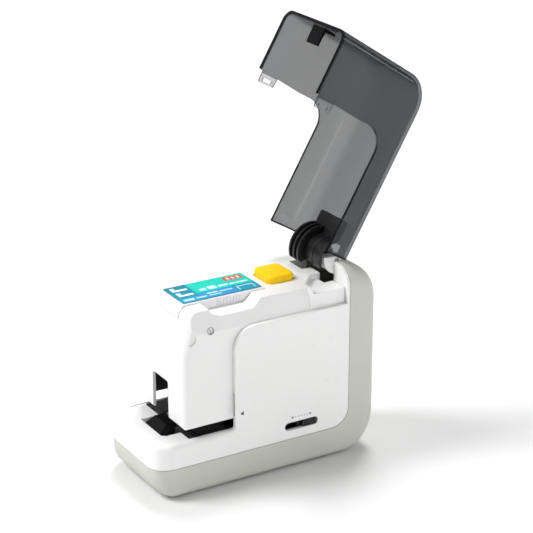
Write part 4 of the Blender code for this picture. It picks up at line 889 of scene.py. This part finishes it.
hs = carve(bm_lathe('X', (22.9, 39.6, 103.0), [(0, 0), (1.0, 0), (1.0, 5.5), (1.9, 5.5), (1.9, 6.0), (1.6, 6.3), (0, 6.3)], 32),
           bm_box(28.7, 30, 38.5, 40.7, 102.75, 103.25), bm_box(28.7, 30, 39.35, 39.85, 101.9, 104.1))
piece("side_screw", hs, STEEL, "casing", "bright_steel", "head_screw")
dc = carve(bm_box(-18.6, -9.4, 145.8, 155.2, 29.4, 38.6), ('+', bm_cyl('Y', (-14, 155.6, 34), 4.0, 4.0)), bm_cyl('Y', (-14, 156, 34), 2.8, 16),
           ('+', bm_cyl('Y', (-14, 151.8, 34), 0.9, 10, 20)))
piece("power_socket", dc, BLACK, "casing", "black_plastic", "dc_socket", bev=0.15)

# --------------------------------------------------------------- inner pieces
for node, m, body, slot, bev in (
        ("magazine_rail", ZINC, "casing", "zinc_plate", 0.2), ("driver_slide", ZINC, "driver", "zinc_plate", 0.25),
        ("driver_blade", STEEL, "driver", "bright_steel", 0.1), ("chassis_plate_right", ZINC, "casing", "zinc_plate", 0.15),
        ("chassis_plate_left", ZINC, "casing", "zinc_plate", 0.15), ("cam_shaft", STEEL, "casing", "bright_steel", 0.2),
        ("idler_shaft", STEEL, "casing", "bright_steel", 0.2), ("lever_pin", STEEL, "casing", "bright_steel", 0.2),
        ("cam_gear", NYLON, "cam", "gear_nylon", 0.12), ("idler_gear", NYLON, "idler", "gear_nylon", 0.1),
        ("motor_pinion", STEEL, "pinion", "bright_steel", 0.08), ("drive_motor", ZINC, "casing", "zinc_plate", 0.25),
        ("drive_lever", ZINC, "lever", "zinc_plate", 0.25), ("circuit_board", BOARD, "casing", "board_green", 0.1),
        ("board_capacitor", BLACK, "casing", "black_plastic", 0.4), ("paper_sensor", BLACK, "casing", "black_plastic", 0.3),
        ("button_spring_seat", DARK_TRAY_AND_SHADE, "casing", "dark_tray", 0.3), ("battery_tray", DARK_TRAY_AND_SHADE, "casing", "dark_tray", 0.25),
        ("contact_front_left", STEEL, "casing", "bright_steel", 0.08), ("contact_front_right", STEEL, "casing", "bright_steel", 0.08),
        ("contact_rear_negative", STEEL, "casing", "bright_steel", 0.08), ("contact_rear_bridge", STEEL, "casing", "bright_steel", 0.08),
        ("contact_rear_positive", STEEL, "casing", "bright_steel", 0.08),
        ("battery_cell_1", CELL, "casing", "cell_wrap", 0.25), ("battery_cell_2", CELL, "casing", "cell_wrap", 0.25),
        ("battery_cell_3", CELL, "casing", "cell_wrap", 0.25), ("battery_cell_4", CELL, "casing", "cell_wrap", 0.25)):
    refine(node, m, body, bev)

# --------------------------------------------------------------------- camera
sc = bpy.context.scene
cam_data = bpy.data.cameras.new("camera")
cam = bpy.data.objects.new("camera", cam_data)
sc.collection.objects.link(cam)
sc.camera = cam
az, el = math.radians(59.2), math.radians(21.18)
back = Vector((math.sin(az) * math.cos(el), -math.cos(az) * math.cos(el), math.sin(el)))
right = Vector((math.cos(az), math.sin(az), 0.0))
up = back.cross(right)
eye = Vector((905.957, -444.787 - OY, 531.401)) * 0.001
cam.matrix_world = Matrix(((right.x, up.x, back.x, eye.x), (right.y, up.y, back.y, eye.y), (right.z, up.z, back.z, eye.z), (0, 0, 0, 1)))
cam_data.sensor_width = 36.0
cam_data.lens = 1859.0 / 533.0 * 36.0
cam_data.clip_start = 0.05
cam_data.clip_end = 60.0

# ------------------------------------------------------------ floor and light
fl = Nodes("studio_floor")
fl.link(fl.ramp(fl.noise(3.0, 2.0), [(0.3, (0.79, 0.79, 0.79)), (0.7, (0.81, 0.81, 0.81))]), fl.p.inputs["Base Color"])
fl.p.inputs["Roughness"].default_value = 0.75
fl.p.inputs["Specular IOR Level"].default_value = 0.2
bm = bmesh.new()
bmesh.ops.create_grid(bm, x_segments=8, y_segments=8, size=4.0)
me = bpy.data.meshes.new("studio_floor")
bm.to_mesh(me)
bm.free()
me.materials.append(fl.m)
floor = bpy.data.objects.new("studio_floor", me)
sc.collection.objects.link(floor)
floor.location = (0, 0, -0.0002)

world = bpy.data.worlds.new("studio")
sc.world = world
world.use_nodes = True
world.node_tree.nodes["Background"].inputs["Color"].default_value = (1.0, 1.0, 1.0, 1.0)
world.node_tree.nodes["Background"].inputs["Strength"].default_value = 0.27


def area(name, loc, target, size, size_y, power, color=(1, 1, 1)):
    ld = bpy.data.lights.new(name, 'AREA')
    ld.shape = 'RECTANGLE'
    ld.size, ld.size_y, ld.energy, ld.color = size, size_y, power, color
    lo = bpy.data.objects.new(name, ld)
    sc.collection.objects.link(lo)
    d = (Vector(target) - Vector(loc)).normalized()
    lo.location = loc
    lo.rotation_euler = d.to_track_quat('-Z', 'Y').to_euler()
    return lo




def sun(name, direction, power, angle):
    ld = bpy.data.lights.new(name, 'SUN')
    ld.energy, ld.angle = power, math.radians(angle)
    lo = bpy.data.objects.new(name, ld)
    sc.collection.objects.link(lo)
    lo.location = Vector(direction) * 2.0
    lo.rotation_euler = (-Vector(direction)).normalized().to_track_quat('-Z', 'Y').to_euler()
    return lo


sun("key_front_left", (-0.36, -0.70, 0.82), 2.55, 26)
sun("top_back", (-0.36, 0.30, 1.0), 1.6, 18)
sun("side_fill", (1.0, -0.15, 0.42), 0.72, 40)
area("cover_strip", (0.55, 0.9, 0.75), (0, 0.05, 0.2), 0.06, 0.9, 2.4)

sc.view_settings.view_transform = 'Standard'
sc.view_settings.look = 'None'
sc.view_settings.exposure = 0.0
sc.view_settings.gamma = 1.0
